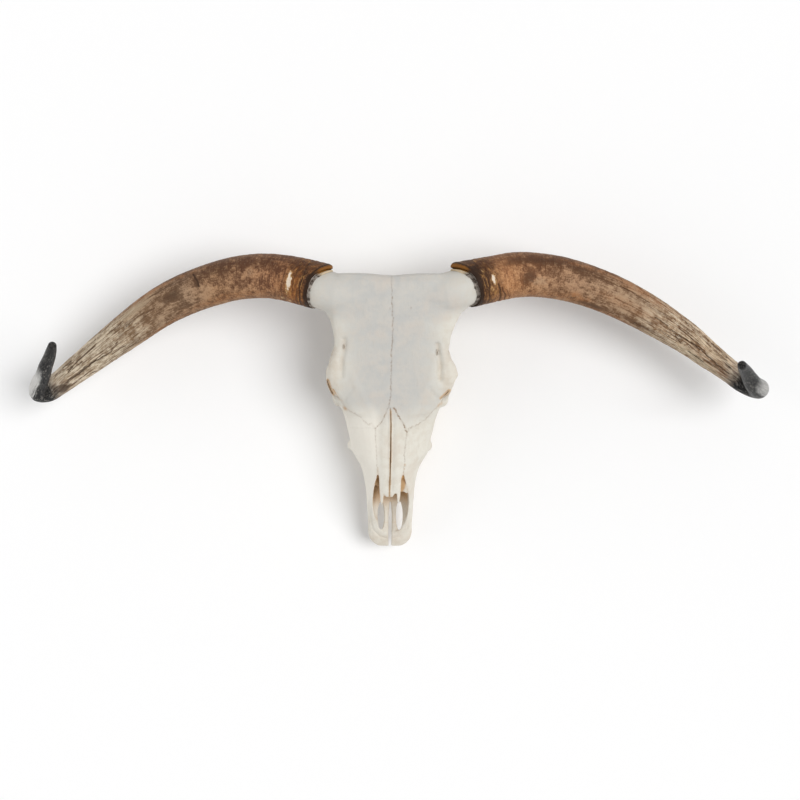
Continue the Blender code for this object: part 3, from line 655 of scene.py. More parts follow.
# Each of these gives a block round a bone or a pair of bones, that reaches further into the skull by grow.
def frontals(grow):
    """Round the forehead, down to the joints at the root of the nose, less all that lies under it."""
    edge = SEAMS["tear_left"][::-1] + SEAMS["nose_root_left"][::-1]
    edge += SEAMS["nose_root_right"] + SEAMS["tear_right"]
    outline = [(-200, 222)] + edge + [(200, 222), (200, -60), (-200, -60)]
    front = block(prism, [(x, s + grow * 1.3) for x, s in outline], -40, 120)
    lower = wandering(mirrored(((0, 44), (60, 50), (88, 74), (130, 86), (210, 98))), 0.8, 11)
    corners = [at(x, -80, d + grow) for x, d in lower] + [at(210, -80, 220), at(-210, -80, 220)]
    return combined(front, block(drawn_out, corners, FORWARD * 420 * MM), "DIFFERENCE")


def nasals(grow):
    """Round the two nose bones, with their free front ends."""
    left = [(x - grow, s) for x, s in SEAMS["nose_side_left"]]
    right = [(x + grow, s) for x, s in SEAMS["nose_side_right"]]
    front = [(-25, 374), (-25, 460), (25, 460), (25, 376)]
    outline = [(left[0][0], 240), *left, *front, *right[::-1], (right[0][0], 240)]
    return block(prism, outline, -30, 15 + grow)


def premaxillae(grow):
    """Round the front of the upper jaw."""
    edge = wandering(((428, -20), (430, 62), (408, 68), (408, 140)), 0.8, 12)
    return block(side_prism, [(s - grow, d) for s, d in edge] + [(560, 140), (560, -20)], -80, 80)


def maxillae(grow):
    """Round the upper jaw behind it, that holds the teeth."""
    edge = wandering(((284, -20), (292, 40), (302, 72), (262, 104), (240, 122), (240, 200)), 1.2, 13)
    return block(side_prism, [(s - grow, d) for s, d in edge] + [(500, 200), (500, -20)], -110, 110)


def cheekbone(side):
    """The block round the lower rim of one eye socket, as a function of grow."""

    def shape(grow):
        edge = ((38, 236), (38, 320), (140, 320), (140, 122), (99, 122), (90, 140), (90, 214), (62, 214))
        edge = [(x - grow if x < 100 else x, s - grow if s < 130 else s) for x, s in edge]
        return block(prism, [(side * x, s) for x, s in edge], -20, 112 + grow)

    return shape


def temporal(side):
    """The block round the arch behind one eye socket, as a function of grow."""

    def shape(grow):
        edge = ((50, 20), (50, 128), (62, 142), (140, 142), (140, 20))
        edge = [(x - grow if x == 50 else x, s + grow if s > 130 else s) for x, s in edge]
        return block(prism, [(side * x, s) for x, s in edge], 78 - grow, 150)

    return shape


def occiput(grow):
    """Round the nape."""
    edge = wandering(((-90, -60), (60, -60), (64, 76), (82, 116), (90, 150), (94, 240), (-90, 240)), 0.8, 14)
    return block(side_prism, [(s + grow if s > 0 else s, d) for s, d in edge], -160, 160)


def half(side, line):
    """All on one side of a line of (x, s, half the gap there)."""
    edge = [(x + side * gap, s) for x, s, gap in line]
    return block(prism, [*edge, (side * 400, edge[-1][1]), (side * 400, edge[0][1])], -100, 260)


# Teeth: six in each row, square and worn, with upright ridges outside and hollow crescents in the
# grinding face. Where each is along s, its length and its breadth.
TEETH = ((261, 29, 23), (289, 26, 24), (315, 23, 23), (338, 20, 20), (357, 17, 18), (373, 15, 15))
TWO_LOBES = 18  # a tooth longer than this has two lobes, one behind the other
TOOTH_ROOT, TOOTH_TIP = -16, 19  # where a tooth begins above the gum line and ends below it
TOOTH_LEAN = 6
TOOTH_ROUNDING = 3.4
TOOTH_RIDGES = (-0.42, 0, 0.42)  # places of the ridges, for a lobe's length
RIDGE_OUT = 0.47  # how far they lie from the lobe's middle, for its breadth
CRESCENTS = ((0.05, 0.17), (-0.20, -0.10))  # inner and outer edges of the crescents, for the breadth
CRESCENT_REACH, CRESCENT_BEND = 0.30, 0.2
CRESCENT_DEPTH = 2.5
TOOTH_VOXEL = 0.9


def tooth_row(s):
    """How far from the skull's middle a row of teeth runs."""
    return 60 - (s - 250) * 0.15


def gum_line(s):
    """The depth at which the teeth come out of the bone."""
    return 150 - (s - 247) * 0.237


def teeth_of(side):
    """One row of teeth."""
    bm, pits = bmesh.new(), bmesh.new()
    turns = [math.radians(a) for a in range(-80, 81, 20)]
    for s, length, breadth in TEETH:
        middle, root, tip = side * tooth_row(s), gum_line(s) + TOOTH_ROOT, gum_line(s) + TOOTH_TIP
        lobes = (-1, 1) if length > TWO_LOBES else (0,)
        for lobe in lobes:
            centre, share = s + lobe * length / 4, length / len(lobes)
            place = AXES.transposed() @ Matrix.Rotation(math.radians(side * TOOTH_LEAN), 3, "Z")
            size = Matrix.Diagonal((breadth * MM, share * 0.97 * MM, (tip - root) * MM))
            place = (place @ size).to_4x4()
            place.translation = at(middle, centre, (root + tip) / 2)
            cube = bmesh.ops.create_cube(bm, size=1, matrix=place)["verts"]
            edges = list({e for v in cube for e in v.link_edges})
            bmesh.ops.bevel(
                bm, geom=edges, offset=TOOTH_ROUNDING * MM, segments=3, profile=0.5, affect="EDGES",
                material=-1,
            )
            for along in TOOTH_RIDGES:
                x, ridge = abs(middle + side * breadth * RIDGE_OUT), centre + along * share
                rod(bm, ((x, ridge, root + 4, 1.7), (x, ridge, tip - 3, 1.3)), side)
            for inner, outer in CRESCENTS:
                outline = []
                for edge, order in ((outer, turns), (inner, turns[::-1])):
                    for a in order:
                        x = middle + side * breadth * (edge - CRESCENT_BEND + CRESCENT_BEND * math.cos(a))
                        outline.append((x, centre + share * CRESCENT_REACH * math.sin(a)))
                prism(pits, outline, tip - CRESCENT_DEPTH, tip + 4)
    rows = fused(finished_mesh(bm, "teeth"), TOOTH_VOXEL)
    combined(rows, fused(finished_mesh(pits, "pits"), TOOTH_VOXEL), "DIFFERENCE")
    return relaxed(rows, 1)


# All that would lie below the floor is cut off, which leaves the small worn flats that the skull stands on.
ground = bmesh.new()
below = Matrix.Translation((0, 0, -0.1)) @ Matrix.Diagonal((4, 4, 1, 1))
bmesh.ops.create_cube(ground, size=0.2, matrix=below)
ground = finished_mesh(ground, "ground")


def smooth(low, high, value):
    """0 below low, 1 above high and a soft step between them."""
    part = np.clip((value - low) / (high - low), 0, 1)
    return part * part * (3 - 2 * part)


def nose_tan_and_shade(x, s, d, inward):
    """How tan each point is inside the nose or on the shelves in its slots: stain, partly painted shade."""
    wide = np.abs(x)
    rows = np.array([row[:6] for row in FACE], float).T
    half_width, outer_top, widest, square = (np.interp(s, rows[0], rows[k]) for k in (1, 2, 3, 5))
    skin = widest - (widest - outer_top) * np.clip(1 - (wide / half_width) ** square, 0, 1) ** (1 / square)
    hollow_half = np.interp(s, [row[0] for row in NOSE_HOLLOW], [row[1] for row in NOSE_HOLLOW])
    inside = smooth(hollow_half + 2.5, hollow_half + 0.5, wide) * smooth(skin + 2, skin + 5, d)
    inside *= smooth(286, 300, s) * (1 - 0.75 * smooth(418, 462, s)) * smooth(0.5, 0.1, inward)
    in_slot = smooth(15, 18, wide) * smooth(38, 35, wide) * smooth(356, 360, s) * smooth(416, 412, s)
    in_slot *= smooth(skin + 1.2, skin + 2.2, d) * smooth(34, 28, d)
    shelf_tan = np.where(x < 0, 1.2 - 0.3 * smooth(388, 398, s), 1.2 - 0.8 * smooth(384, 398, s))
    return np.maximum(inside, in_slot * shelf_tan) * 0.8


# Tan in the grooves and slits: the line, its half width and how strong; in the brow grooves, painted shade.
TAN_LINES = (
    (BROW_GROOVES[0], 5, 0.2), (BROW_GROOVES[1], 5, 0.26), (SOCKET_NOTCH, 2, 0.9),
    (((-84.6, 132), (-84.2, 140)), 1.0, 0.5), (((85.8, 141), (84.6, 151)), 1.0, 0.55),
)
# Tan spots on the forehead's edges and beside the right nose bone: (x, s), radius and how strong.
TAN_SPOTS = (
    (-115, 214, 5, 0.5), (-84, 256, 5, 0.7), (100.3, 226, 4, 0.9), (92, 250, 6, 0.7), (-93, 240, 5, 0.5),
    (27.5, 356, 2.5, 0.55), (26.5, 364, 2, 0.5),
)
PORE_STAIN = ((-1.3, 65, 0.3), *((x, s, dark) for x, s, _, _, _, dark in PORES))


def marked(bone):
    """Lays down what each point of a bone shows: joint line, grey, tan stain with some painted shade, and
    tooth.
    """
    mesh = bone.data
    spots = felt(mesh)
    flat = spots[:, :2]
    x, s, d = spots.T
    wide = np.abs(x)
    inward = (points_of(mesh, "normal") @ np.array(AXES).T)[:, 2]
    upper = smooth(70, 50, d)
    topside = smooth(-0.12, -0.45, inward)

    # the joint lines, the pores, the slit between the nose bones and the clefts in the sockets' rims
    slit = beside(flat, NOSE_SLIT, 1.5, 6) * smooth(246, 256, s) * upper
    seam = slit * 0.3
    for name, line in SEAMS.items():
        strength = SEAM_SHOWS.get(name, SEAM_PLAIN)
        if name == "midline":
            strength = strength * (0.25 + 0.75 * smooth(18, 48, s))
        seam = np.maximum(seam, strength * beside(flat, line, 0.8, 6) * upper)
    for x0, s0, strength in PORE_STAIN:
        seam = np.maximum(seam, strength * np.exp(-((np.hypot(x - x0, (s - s0) * 0.4) / 1.1) ** 4)) * upper)
    for line, strength in CLEFTS:
        seam = np.maximum(seam, smooth(2.8, 1.0, reach_of(flat, line, 6)) * smooth(90, 70, d) * strength)

    # grey on the forehead, with cloudy edges, wider near the poll, where it is partly painted shade
    edges = np.exp(-((wide / (88 + 14 * grain(spots / 40, 5) + 60 * smooth(95, 60, s))) ** 4))
    grey = edges * smooth(300, 225, s + 12 * grain(spots / 30, 6)) * smooth(70, 40, d)

    # tan inside the nose, on thin edges, round the sockets, underneath and at the nose's end; painted shade
    # at the poll
    socket = np.linalg.norm((np.stack((wide, s, d), 1) - EYE_SOCKET[0]) / EYE_SOCKET[1], axis=1)
    stains_and_shade = [
        # the bone's tan inside the nose, partly painted shade of its hollow
        nose_tan_and_shade(x, s, d, inward),
        beside(flat, OPENING, 1.1, 6) * smooth(80, 66, d) * 0.32,
        slit * 0.75,
        smooth(1.12, 1.0, socket) * 0.42,
        smooth(0.1, 0.6, inward) * 0.28,
        0.2 * smooth(82, 104, wide) * smooth(118, 150, s) * smooth(262, 235, s),
        0.22 * smooth(440, 520, s),
        # painted shade where the surface turns down at the poll
        0.1 * smooth(34, 6, s) * smooth(60, 30, d),
    ]
    for line, width, strength in TAN_LINES:
        stains_and_shade.append(strength * (beside(flat, line, width) * upper * topside))
    for line, _ in CLEFTS:
        around = smooth(7, 1.5, reach_of(flat, line, 12)) * smooth(90, 70, d)
        stains_and_shade.append(around * 0.75 * (0.3 + topside * 0.7))
    for x0, s0, size, strength in TAN_SPOTS:
        spot = np.exp(-((np.hypot(x - x0, s - s0) / size) ** 2)) * smooth(100, 60, d) * topside
        stains_and_shade.append(strength * spot)
    stain_and_shade = np.maximum.reduce(stains_and_shade)

    gum, row = gum_line(s), np.abs(wide - tooth_row(s))
    tooth = smooth(gum - 1.5, gum + 1, d) * smooth(16, 13, row) * smooth(243, 246, s) * smooth(383, 380, s)
    colours = mesh.color_attributes.new(MARKS, "FLOAT_COLOR", "POINT")
    colours.data.foreach_set("color", np.stack((seam, grey, stain_and_shade, tooth), 1).ravel())


class Wire:
    """A socket of a finish. Sums on it are written as in Python, and become Math nodes."""

    def __init__(self, finish, socket):
        self.finish, self.socket = finish, socket

    def __add__(self, other):
        return self.finish.maths("ADD", self, other)

    def __sub__(self, other):
        return self.finish.maths("SUBTRACT", self, other)

    def __rsub__(self, other):
        return self.finish.maths("SUBTRACT", other, self)

    def __mul__(self, other):
        return self.finish.maths("MULTIPLY", self, other)

    __radd__, __rmul__ = __add__, __mul__


class Finish:
    """A material, and the nodes that its looks are made of."""

    def __init__(self, name, **fixed):
        self.material = bpy.data.materials.new(name)
        self.material.use_nodes = True
        self.tree = self.material.node_tree
        self.shader = self.tree.nodes["Principled BSDF"]
        for socket, value in fixed.items():
            self.shader.inputs[socket.replace("_", " ")].default_value = value

    def node(self, kind, settings=None, inputs=None, output=0):
        """Adds a node with its settings and its sockets' values or links, and gives one of its outputs."""
        made = self.tree.nodes.new(kind)
        for name, value in (settings or {}).items():
            if name == "stops":
                for index, (place, colour) in enumerate(value):
                    stop = made.color_ramp.elements[0] if index == 0 else made.color_ramp.elements.new(place)
                    stop.position, stop.color = place, colour
                made.color_ramp.elements.remove(made.color_ramp.elements[-1])
            else:
                setattr(made, name, value)
        for name, value in (inputs or {}).items():
            if isinstance(value, Wire):
                self.tree.links.new(value.socket, made.inputs[name])
            else:
                made.inputs[name].default_value = value
        return Wire(self, made.outputs[output])

    def maths(self, operation, *values):
        """The result of a Math node on one or two values."""
        return self.node("ShaderNodeMath", {"operation": operation}, dict(enumerate(values)))

    def axis(self, vector, index):
        """One number of a vector: 0 for x, 1 for y."""
        return self.node("ShaderNodeSeparateXYZ", None, {0: vector}, index)

    def channel(self, colour, index):
        """One number of a colour: 0 for red, 1 for green, 2 for blue."""
        return self.node("ShaderNodeSeparateColor", None, {0: colour}, index)

    def attribute(self, name, output="Color"):
        """A colour that was laid down on the piece."""
        return self.node("ShaderNodeAttribute", {"attribute_name": name}, None, output)

    def step(self, value, low, high):
        """0 below low and 1 above high, with a soft step between."""
        ends = {"Value": value, "From Min": low, "From Max": high}
        return self.node("ShaderNodeMapRange", {"interpolation_type": "SMOOTHSTEP"}, ends)

    def noise(self, spot, scale, detail, roughness):
        """Cloudy noise from 0 to 1."""
        inputs = {"Vector": spot, "Scale": scale, "Detail": detail, "Roughness": roughness}
        return self.node("ShaderNodeTexNoise", None, inputs)

    def mix(self, share, low, high):
        """The colour low where share is 0, and high where it is 1."""
        settings = {"data_type": "RGBA", "clamp_factor": True}
        return self.node("ShaderNodeMix", settings, {0: share, 6: low, 7: high}, 2)

    def ramp(self, value, stops):
        """A colour that runs through stops of (value, red, green, blue)."""
        settings = {"stops": [(place, tint(*colour)) for place, *colour in stops]}
        return self.node("ShaderNodeValToRGB", settings, {0: value})

    def stretched(self, spot, size):
        """The place, counted more slowly along some axes, so that a pattern on it is drawn out."""
        return self.node("ShaderNodeMapping", None, {"Vector": spot, "Scale": size})

    def set(self, **wires):
        """Links wires to the shader's sockets."""
        for socket, wire in wires.items():
            self.tree.links.new(wire.socket, self.shader.inputs[socket.replace("_", " ")])

    def raised(self, height):
        """Lets a height in metres show as relief."""
        bump = self.node("ShaderNodeBump", None, {"Height": height, "Distance": 1.0, "Strength": 1.0})
        self.set(Normal=bump)


def tint(*colour):
    """A colour as a paint chart gives it, from 0 to 255, for a shader."""
    parts = [c / 255 for c in colour]
    return (*(c / 12.92 if c <= 0.04045 else ((c + 0.055) / 1.055) ** 2.4 for c in parts), 1)


bone = Finish("dry_bone", Roughness=0.62, Specular_IOR_Level=0.3)
place = bone.node("ShaderNodeTexCoord", None, None, "Object")
marks = bone.attribute(MARKS)
seam, grey, stain_and_shade = (bone.channel(marks, k) for k in range(3))
tooth = bone.attribute(MARKS, "Alpha")
cloud = bone.noise(place, 14, 4, 0.6)
patch = bone.noise(place, 55, 4, 0.65)
speck = bone.noise(place, 420, 3, 0.7)
lengthwise = bone.noise(bone.stretched(place, (1, 0.14, 1)), 300, 4, 0.7)
cream = bone.mix(bone.step(patch, 0.38, 0.66), tint(224, 220, 209), tint(217, 211, 198))
cool = bone.mix(bone.step(patch, 0.35, 0.68), tint(194, 193, 189), tint(203, 199, 192))
colour = bone.mix(grey * (0.55 + cloud * 0.9), cream, cool)
colour = bone.mix(bone.step(cloud, 0.5, 0.72) * 0.35, colour, tint(212, 198, 184))
colour = bone.mix(bone.step(lengthwise, 0.52, 0.72) * 0.10, colour, tint(170, 158, 140))
colour = bone.mix(bone.step(speck, 0.62, 0.76) * 0.16, colour, tint(150, 136, 116))
# painted light: the left cheek is painted paler, against the shade that the light from the right leaves on
# it
across, along = bone.axis(place, 0), bone.axis(place, 1)
painted_left_light = bone.step(across, -0.026, -0.05) * bone.step(along, 0.0, -0.05) * bone.step(along, -0.24, -0.17)
colour = bone.mix(painted_left_light * 0.75, colour, tint(244, 239, 228))
tan = bone.mix(bone.step(patch, 0.3, 0.7), tint(214, 174, 124), tint(184, 144, 97))
colour = bone.mix(bone.step(stain_and_shade + (patch - 0.5) * 0.22, 0.02, 1.0), colour, tan)
dotted = bone.step(bone.noise(place, 210, 2, 0.6), 0.44, 0.58)
colour = bone.mix(seam * (0.2 + dotted * 0.8), colour, tint(140, 108, 74))
wear_and_highlight = bone.step(patch + (speck - 0.5) * 0.5, 0.42, 0.62)
enamel = bone.mix(wear_and_highlight, tint(226, 214, 186), tint(150, 118, 78))
colour = bone.mix(tooth, colour, enamel)
bone.set(Base_Color=colour, Roughness=0.58 + speck * 0.12)
bone.raised((patch - 0.5) * 0.0007 + (lengthwise - 0.5) * 0.0002 + (speck - 0.5) * 0.00022 - seam * 0.0003)

GREY_BONES = ("frontal", "occiput", "braincase", "temporal")


def finished_bone(obj, node):
    """Names a bone for its node, marks and finishes it, and sets it on the frame."""
    obj.name = node + "_bone"
    marked(obj)
    obj.data.materials.clear()
    obj.data.materials.append(bone.material)
    obj.data.shade_smooth()
    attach(obj, "root")
    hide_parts(node)
    "bone" if node.split("_")[0] in GREY_BONES else "cream_bone"


SIDES = (("left", -1), ("right", 1))
# The lines that part the pairs of bones: (x, s, half the gap).
PLAIN = ((0, -100, GAP / 2), (0, 620, GAP / 2))
seam_line = [(x, s, GAP / 2) for x, s in [(1.3, -100), *SEAMS["midline"], (-3, 620)]]
slit_line = [(-3, -100, 0.1), *NOSE_SLIT, (-0.6, 620, 0.3)]
combined(skull, block(lambda bm: bm.from_mesh(ground.data)), "DIFFERENCE")
for shape, kind, line in (
    (frontals, "frontal", seam_line), (nasals, "nasal", slit_line), (premaxillae, "premaxilla", PLAIN),
    (maxillae, "maxilla", PLAIN),
):
    pair = peeled(skull, shape)
    for label, side in SIDES:
        piece = taken(pair, half(side, line), "INTERSECT")
        if kind == "maxilla":
            row = combined(teeth_of(side), block(lambda bm: bm.from_mesh(ground.data)), "DIFFERENCE")
            combined(piece, row, "UNION")
            largest(piece)
        finished_bone(piece, kind + "_" + label)
    bpy.data.objects.remove(pair)
for label, side in SIDES:
    finished_bone(peeled(skull, cheekbone(side)), "cheekbone_" + label)
finished_bone(peeled(skull, occiput), "occiput")
for label, side in SIDES:
    finished_bone(peeled(skull, temporal(side)), "temporal_" + label)
finished_bone(largest(skull), "braincase")
bpy.data.objects.remove(ground)

# --------------------------------------------------------------------------------------------------
# The horn sheaths: long hollow cones of horn that fit over the cores, grown in rings from the mouth, dried
# into bleached fibres further out, and solid, smooth and black at the tips. Each is a grid that is bent
# round the horn's middle line, from the end of its hollow over the lip of the mouth to the tip.
LINE_POINTS = 600  # how finely the middle line is drawn
# Points of the middle lines, from the mouth to the tip, and the radius there.
LEFT_HORN = (
    (-147, 209, 166, 44.5), (-190, 220, 159, 43.5), (-240, 228, 152, 42), (-304, 224, 142, 41),
    (-370, 206, 132, 40), (-437, 177, 121, 38), (-504, 132, 110, 34.5), (-561, 91, 101, 29.5),
    (-610, 54, 95, 25.5), (-643, 29, 93, 22.3), (-661, 16, 97, 20.5), (-673, 14, 108, 18.8),
    (-670, 27, 128, 16.5), (-657, 45, 150, 14.3), (-648, 60, 170, 13), (-636, 77, 192, 11.3),
    (-628, 90, 210, 9.6), (-624, 97, 221, 8),
)
RIGHT_HORN = (
    (114, 210, 166, 44.5), (160, 220, 159, 43.5), (213, 230, 152, 42.5), (277, 228, 142, 41),
    (343, 213, 132, 39.5), (409, 188, 121, 38), (476, 153, 110, 35), (533, 118, 101, 30.5),
    (581, 82, 96, 26), (621, 52, 95, 22.5), (647, 32, 97, 21), (664, 23, 106, 20.5),
    (666.5, 21, 124, 19), (653, 28, 145, 16.8), (639, 40, 170, 14.2), (627, 51, 195, 12),
    (617, 58, 217, 10), (611, 62, 233, 8.4),
)
SHEATH_WALL = 5.0
SHEATH_HOLLOW = 95.0  # how far out the hollow reaches
MOUTH_WALL = 3.0  # how thin the sheath is at the mouth's edge
# How far out the mouth's edge lies on its upper side and towards the nose, and how far in at the back,
# for each radius.
LEFT_MOUTH, RIGHT_MOUTH = (0.23, 0.05, 0.38), (0.45, 0.2, 0.33)
MOUTH_FADE = 110.0  # how far out the rings still lean as the mouth's edge does
LIP_CURL = 6.5  # how far the back of the mouth curls in
LIP_REACH = 9.0  # and over what length
HORN_STEP = 1.7  # the width of the grid's faces along the horn
HORN_ROUND = 120  # and their number round it
# Patches on each horn: millimetres along, place across (-1 at the back, 1 towards the nose), half sizes
# along and round, which colour (0 dark, 1 bleached, 2 orange, 3 white) and how strong.
LEFT_PATCHES = (
    (49, 0.02, 5, 22, 3, 1.0), (60, 0.8, 7, 5, 3, 0.55), (45, 0.86, 4, 5, 3, 0.55),
    (122, -0.27, 15, 12, 1, 0.4), (224, -0.45, 4, 17, 0, 0.6), (244, -0.2, 15, 14, 1, 0.3),
    (280, -0.2, 24, 11, 0, 0.6), (552, 0.5, 16, 12, 0, 1.0), (566, 0.2, 12, 14, 0, 0.8),
    (35, -0.7, 8, 12, 0, 0.5), (36, 0.3, 9, 40, 2, 0.9), (180, -0.6, 30, 14, 0, 0.5),
    (330, 0.92, 100, 6, 2, 0.6), (262, 0.5, 24, 8, 0, 0.3), (190, 0.75, 80, 10, 2, 0.5),
    (330, -0.92, 100, 6, 2, 0.7), (105, -0.6, 50, 14, 0, 0.45), (140, 0.1, 16, 14, 0, 0.3),
    (95, 0.2, 12, 20, 0, 0.3), (330, 0.1, 24, 12, 0, 0.25), (390, 0.7, 22, 9, 0, 0.4),
    (350, -0.65, 40, 9, 1, 0.6), (205, 0.1, 14, 10, 1, 0.35),
)
RIGHT_PATCHES = (
    (51, -0.15, 4, 12, 3, 0.9), (45, 0.3, 4, 9, 3, 0.45), (34, -0.5, 4, 6, 3, 0.4),
    (139, 0.2, 20, 10, 1, 0.5), (80, 0.4, 18, 28, 2, 0.3), (130, -0.72, 70, 12, 0, 0.6),
    (495, 0.75, 60, 9, 1, 0.9), (320, 0.1, 60, 10, 2, 0.4), (255, 0.8, 34, 7, 0, 0.6),
    (345, 0.74, 34, 7, 0, 0.5), (541, 0.4, 14, 9, 2, 0.9), (350, -0.8, 60, 9, 2, 0.8),
    (549, -0.34, 5, 2.2, 0, 1), (345, -0.2, 70, 22, 1, 0.4), (208, -0.66, 30, 9, 0, 0.5),
    (222, 0.62, 26, 8, 2, 0.75), (170, 0.8, 60, 10, 2, 0.5), (320, -0.9, 120, 7, 2, 0.7),
    (20, 0.3, 10, 30, 0, 0.5), (430, 0.93, 90, 6, 1, 0.6), (500, 0.1, 40, 9, 2, 0.6),
    (300, 0.93, 60, 6, 2, 0.55), (440, -0.5, 26, 9, 0, 0.4), (160, -0.3, 12, 12, 0, 0.4),
    (118, 0.0, 16, 20, 0, 0.6), (20, -0.65, 14, 14, 0, 0.9), (200, 0.0, 14, 12, 1, 0.35),
)
# Cracks: points of (along, across), half width and depth.
LEFT_CRACKS = (
    (((437, 0.45), (476, 0.29), (506, 0.3), (540, 0.31)), 1.5, 1.7),
    (((487, -0.53), (506, -0.41), (523, -0.29)), 1.5, 1.3),
    (((412, 0.19), (424, 0.3), (437, 0.45)), 1.2, 1.1),
    (((430, -0.8), (470, -0.74), (520, -0.7)), 0.9, 0.8),
    (((227, -0.78), (222, -0.5), (221, -0.15)), 1.8, 1.0),
    (((395, 0.0), (450, 0.02), (530, 0.0)), 0.9, 0.6), (((22, -1), (26, 0), (20, 1)), 1.2, 0.9),
    (((34, -1), (40, 0), (33, 1)), 1.0, 0.7), (((60, -0.6), (62, 0.3), (58, 0.98)), 1.0, 0.6),
    (((300, 0.6), (310, 0.3), (304, 0.9)), 0.9, 0.5),
)
RIGHT_CRACKS = (
    (((459, 0.04), (485, -0.03), (518, 0.13), (556, 0.14)), 1.5, 1.6),
    (((426, 0.27), (445, 0.49)), 1.2, 1.2), (((540, -0.33), (556, -0.35)), 1.3, 1.6),
    (((545, 0.6), (590, 0.5)), 1.0, 0.8), (((58, 0.1), (61, 0.6), (58, 1)), 1.5, 1.2),
    (((64, 0.3), (70, 0.75), (68, 1)), 1.4, 1.1), (((72, 0.45), (78, 0.8), (77, 1)), 1.1, 0.9),
    (((24, -1), (28, 0), (24, 1)), 1.2, 0.8), (((38, -0.9), (40, -0.2), (39, 0.6)), 1.0, 0.6),
    (((365, 0.1), (420, 0.2), (470, 0.35)), 1.0, 0.7),
)
DRIED = (300, 430)  # between these the horn turns from smooth to dry and fibrous
TIP_SMOOTHS = ((190, 130), (180, 120), (150, 100))  # where fibres, flakes and all relief fade before the end
# Shallow splits, drawn at random along the dry part: how many, the furthest that one ends and how far
# back others do.
SPLITS, SPLITS_END, SPLITS_BACK = 70, 560, 270
FLECK_DEPTH = 0.9  # how much lower the horn is where a flake has come off a white patch
WHITE = 3  # the colour of such a patch


def horn_line(rows):
    """The horn's middle line and radius as (x, y, z, r), evenly along a curve, and how far along each is."""
    rows = np.array(rows, float)
    steps = np.linalg.norm(np.diff(rows[:, :3], axis=0), axis=1)
    along = np.concatenate([[0], np.cumsum(steps)])
    slope = np.gradient(rows, along, axis=0)
    reach = np.linspace(0, along[-1], LINE_POINTS)
    i = np.clip(np.searchsorted(along, reach, side="right") - 1, 0, len(steps) - 1)
    span = steps[i][:, None]
    u = ((reach - along[i]) / steps[i])[:, None]
    line = (2 * u**3 - 3 * u**2 + 1) * rows[i] + (u**3 - 2 * u**2 + u) * span * slope[i]
    line += (3 * u**2 - 2 * u**3) * rows[i + 1] + (u**3 - u**2) * span * slope[i + 1]
    return line, reach


def horn_axes(line):
    """For each point of the middle line: ahead, towards the nose and up."""
    ahead = np.gradient(line[:, :3], axis=0)
    ahead /= np.linalg.norm(ahead, axis=1)[:, None]
    forward = np.array(FORWARD)
    nose = forward - ahead * (ahead @ forward)[:, None]
    nose /= np.linalg.norm(nose, axis=1)[:, None]
    over = np.cross(nose, ahead) * math.copysign(1, line[0, 0])
    return ahead, nose, over


LIE = "lie"  # the UV map of a grid that is wrapped round: how far along, in metres, and how far round


def wrapped_grid(name, along, stations, rounds):
    """A grid of stations rings, whose UVs are along, in metres, and once round. It is still flat."""
    bm = bmesh.new()
    bm.loops.layers.uv.new(LIE)
    bmesh.ops.create_grid(bm, x_segments=stations - 1, y_segments=rounds, size=0.5, calc_uvs=True)
    mesh = bpy.data.meshes.new(name)
    bm.to_mesh(mesh)
    bm.free()
    ring_of = np.rint((points_of(mesh)[:, 0] + 0.5) * (stations - 1)).astype(int)
    turn = points_of(mesh)[:, 1] + 0.5
    uvs = np.zeros(len(mesh.loops) * 2)
    mesh.uv_layers[LIE].data.foreach_get("uv", uvs)
    uvs = uvs.reshape(-1, 2)
    uvs[:, 0] = np.array(along)[np.rint(uvs[:, 0] * (stations - 1)).astype(int)] * MM
    mesh.uv_layers[LIE].data.foreach_set("uv", uvs.ravel())
    return mesh, ring_of, turn


def welded(mesh):
    """The mesh of a grid that has been bent round, with its meeting edges joined, as a bmesh."""
    bm = bmesh.new()
    bm.from_mesh(mesh)
    bmesh.ops.remove_doubles(bm, verts=bm.verts, dist=0.01 * MM)
    return bm


def angle_of(turn):
    """The angle round the horn, 0 on its top and growing towards the nose."""
    return (0.5 - turn) * 2 * math.pi


def at_back(angle):
    """1 at the back of the horn, away from the nose, and 0 from its top and underside on."""
    return np.maximum(0, -np.sin(angle))


def outward(over, nose, angle):
    """The way out from the horn's middle line at each angle."""
    return over * np.cos(angle)[:, None] + nose * np.sin(angle)[:, None]


def noise_round(along, turn, pitch, lobes, seed):
    """Noise over the horn: pitch is its length along, and lobes how often it changes round it."""
    angle = turn * 2 * math.pi
    return grain(np.stack((along / pitch, np.cos(angle) * lobes, np.sin(angle) * lobes), 1), seed)


def mouth_edge(mouth, angle):
    """How far along the horn its mouth's edge lies at each angle, for each radius."""
    top, nose, back = mouth
    low = nose * np.maximum(0, np.sin(angle)) - back * at_back(angle) ** 2.6
    return low + top * np.maximum(0, np.cos(angle))


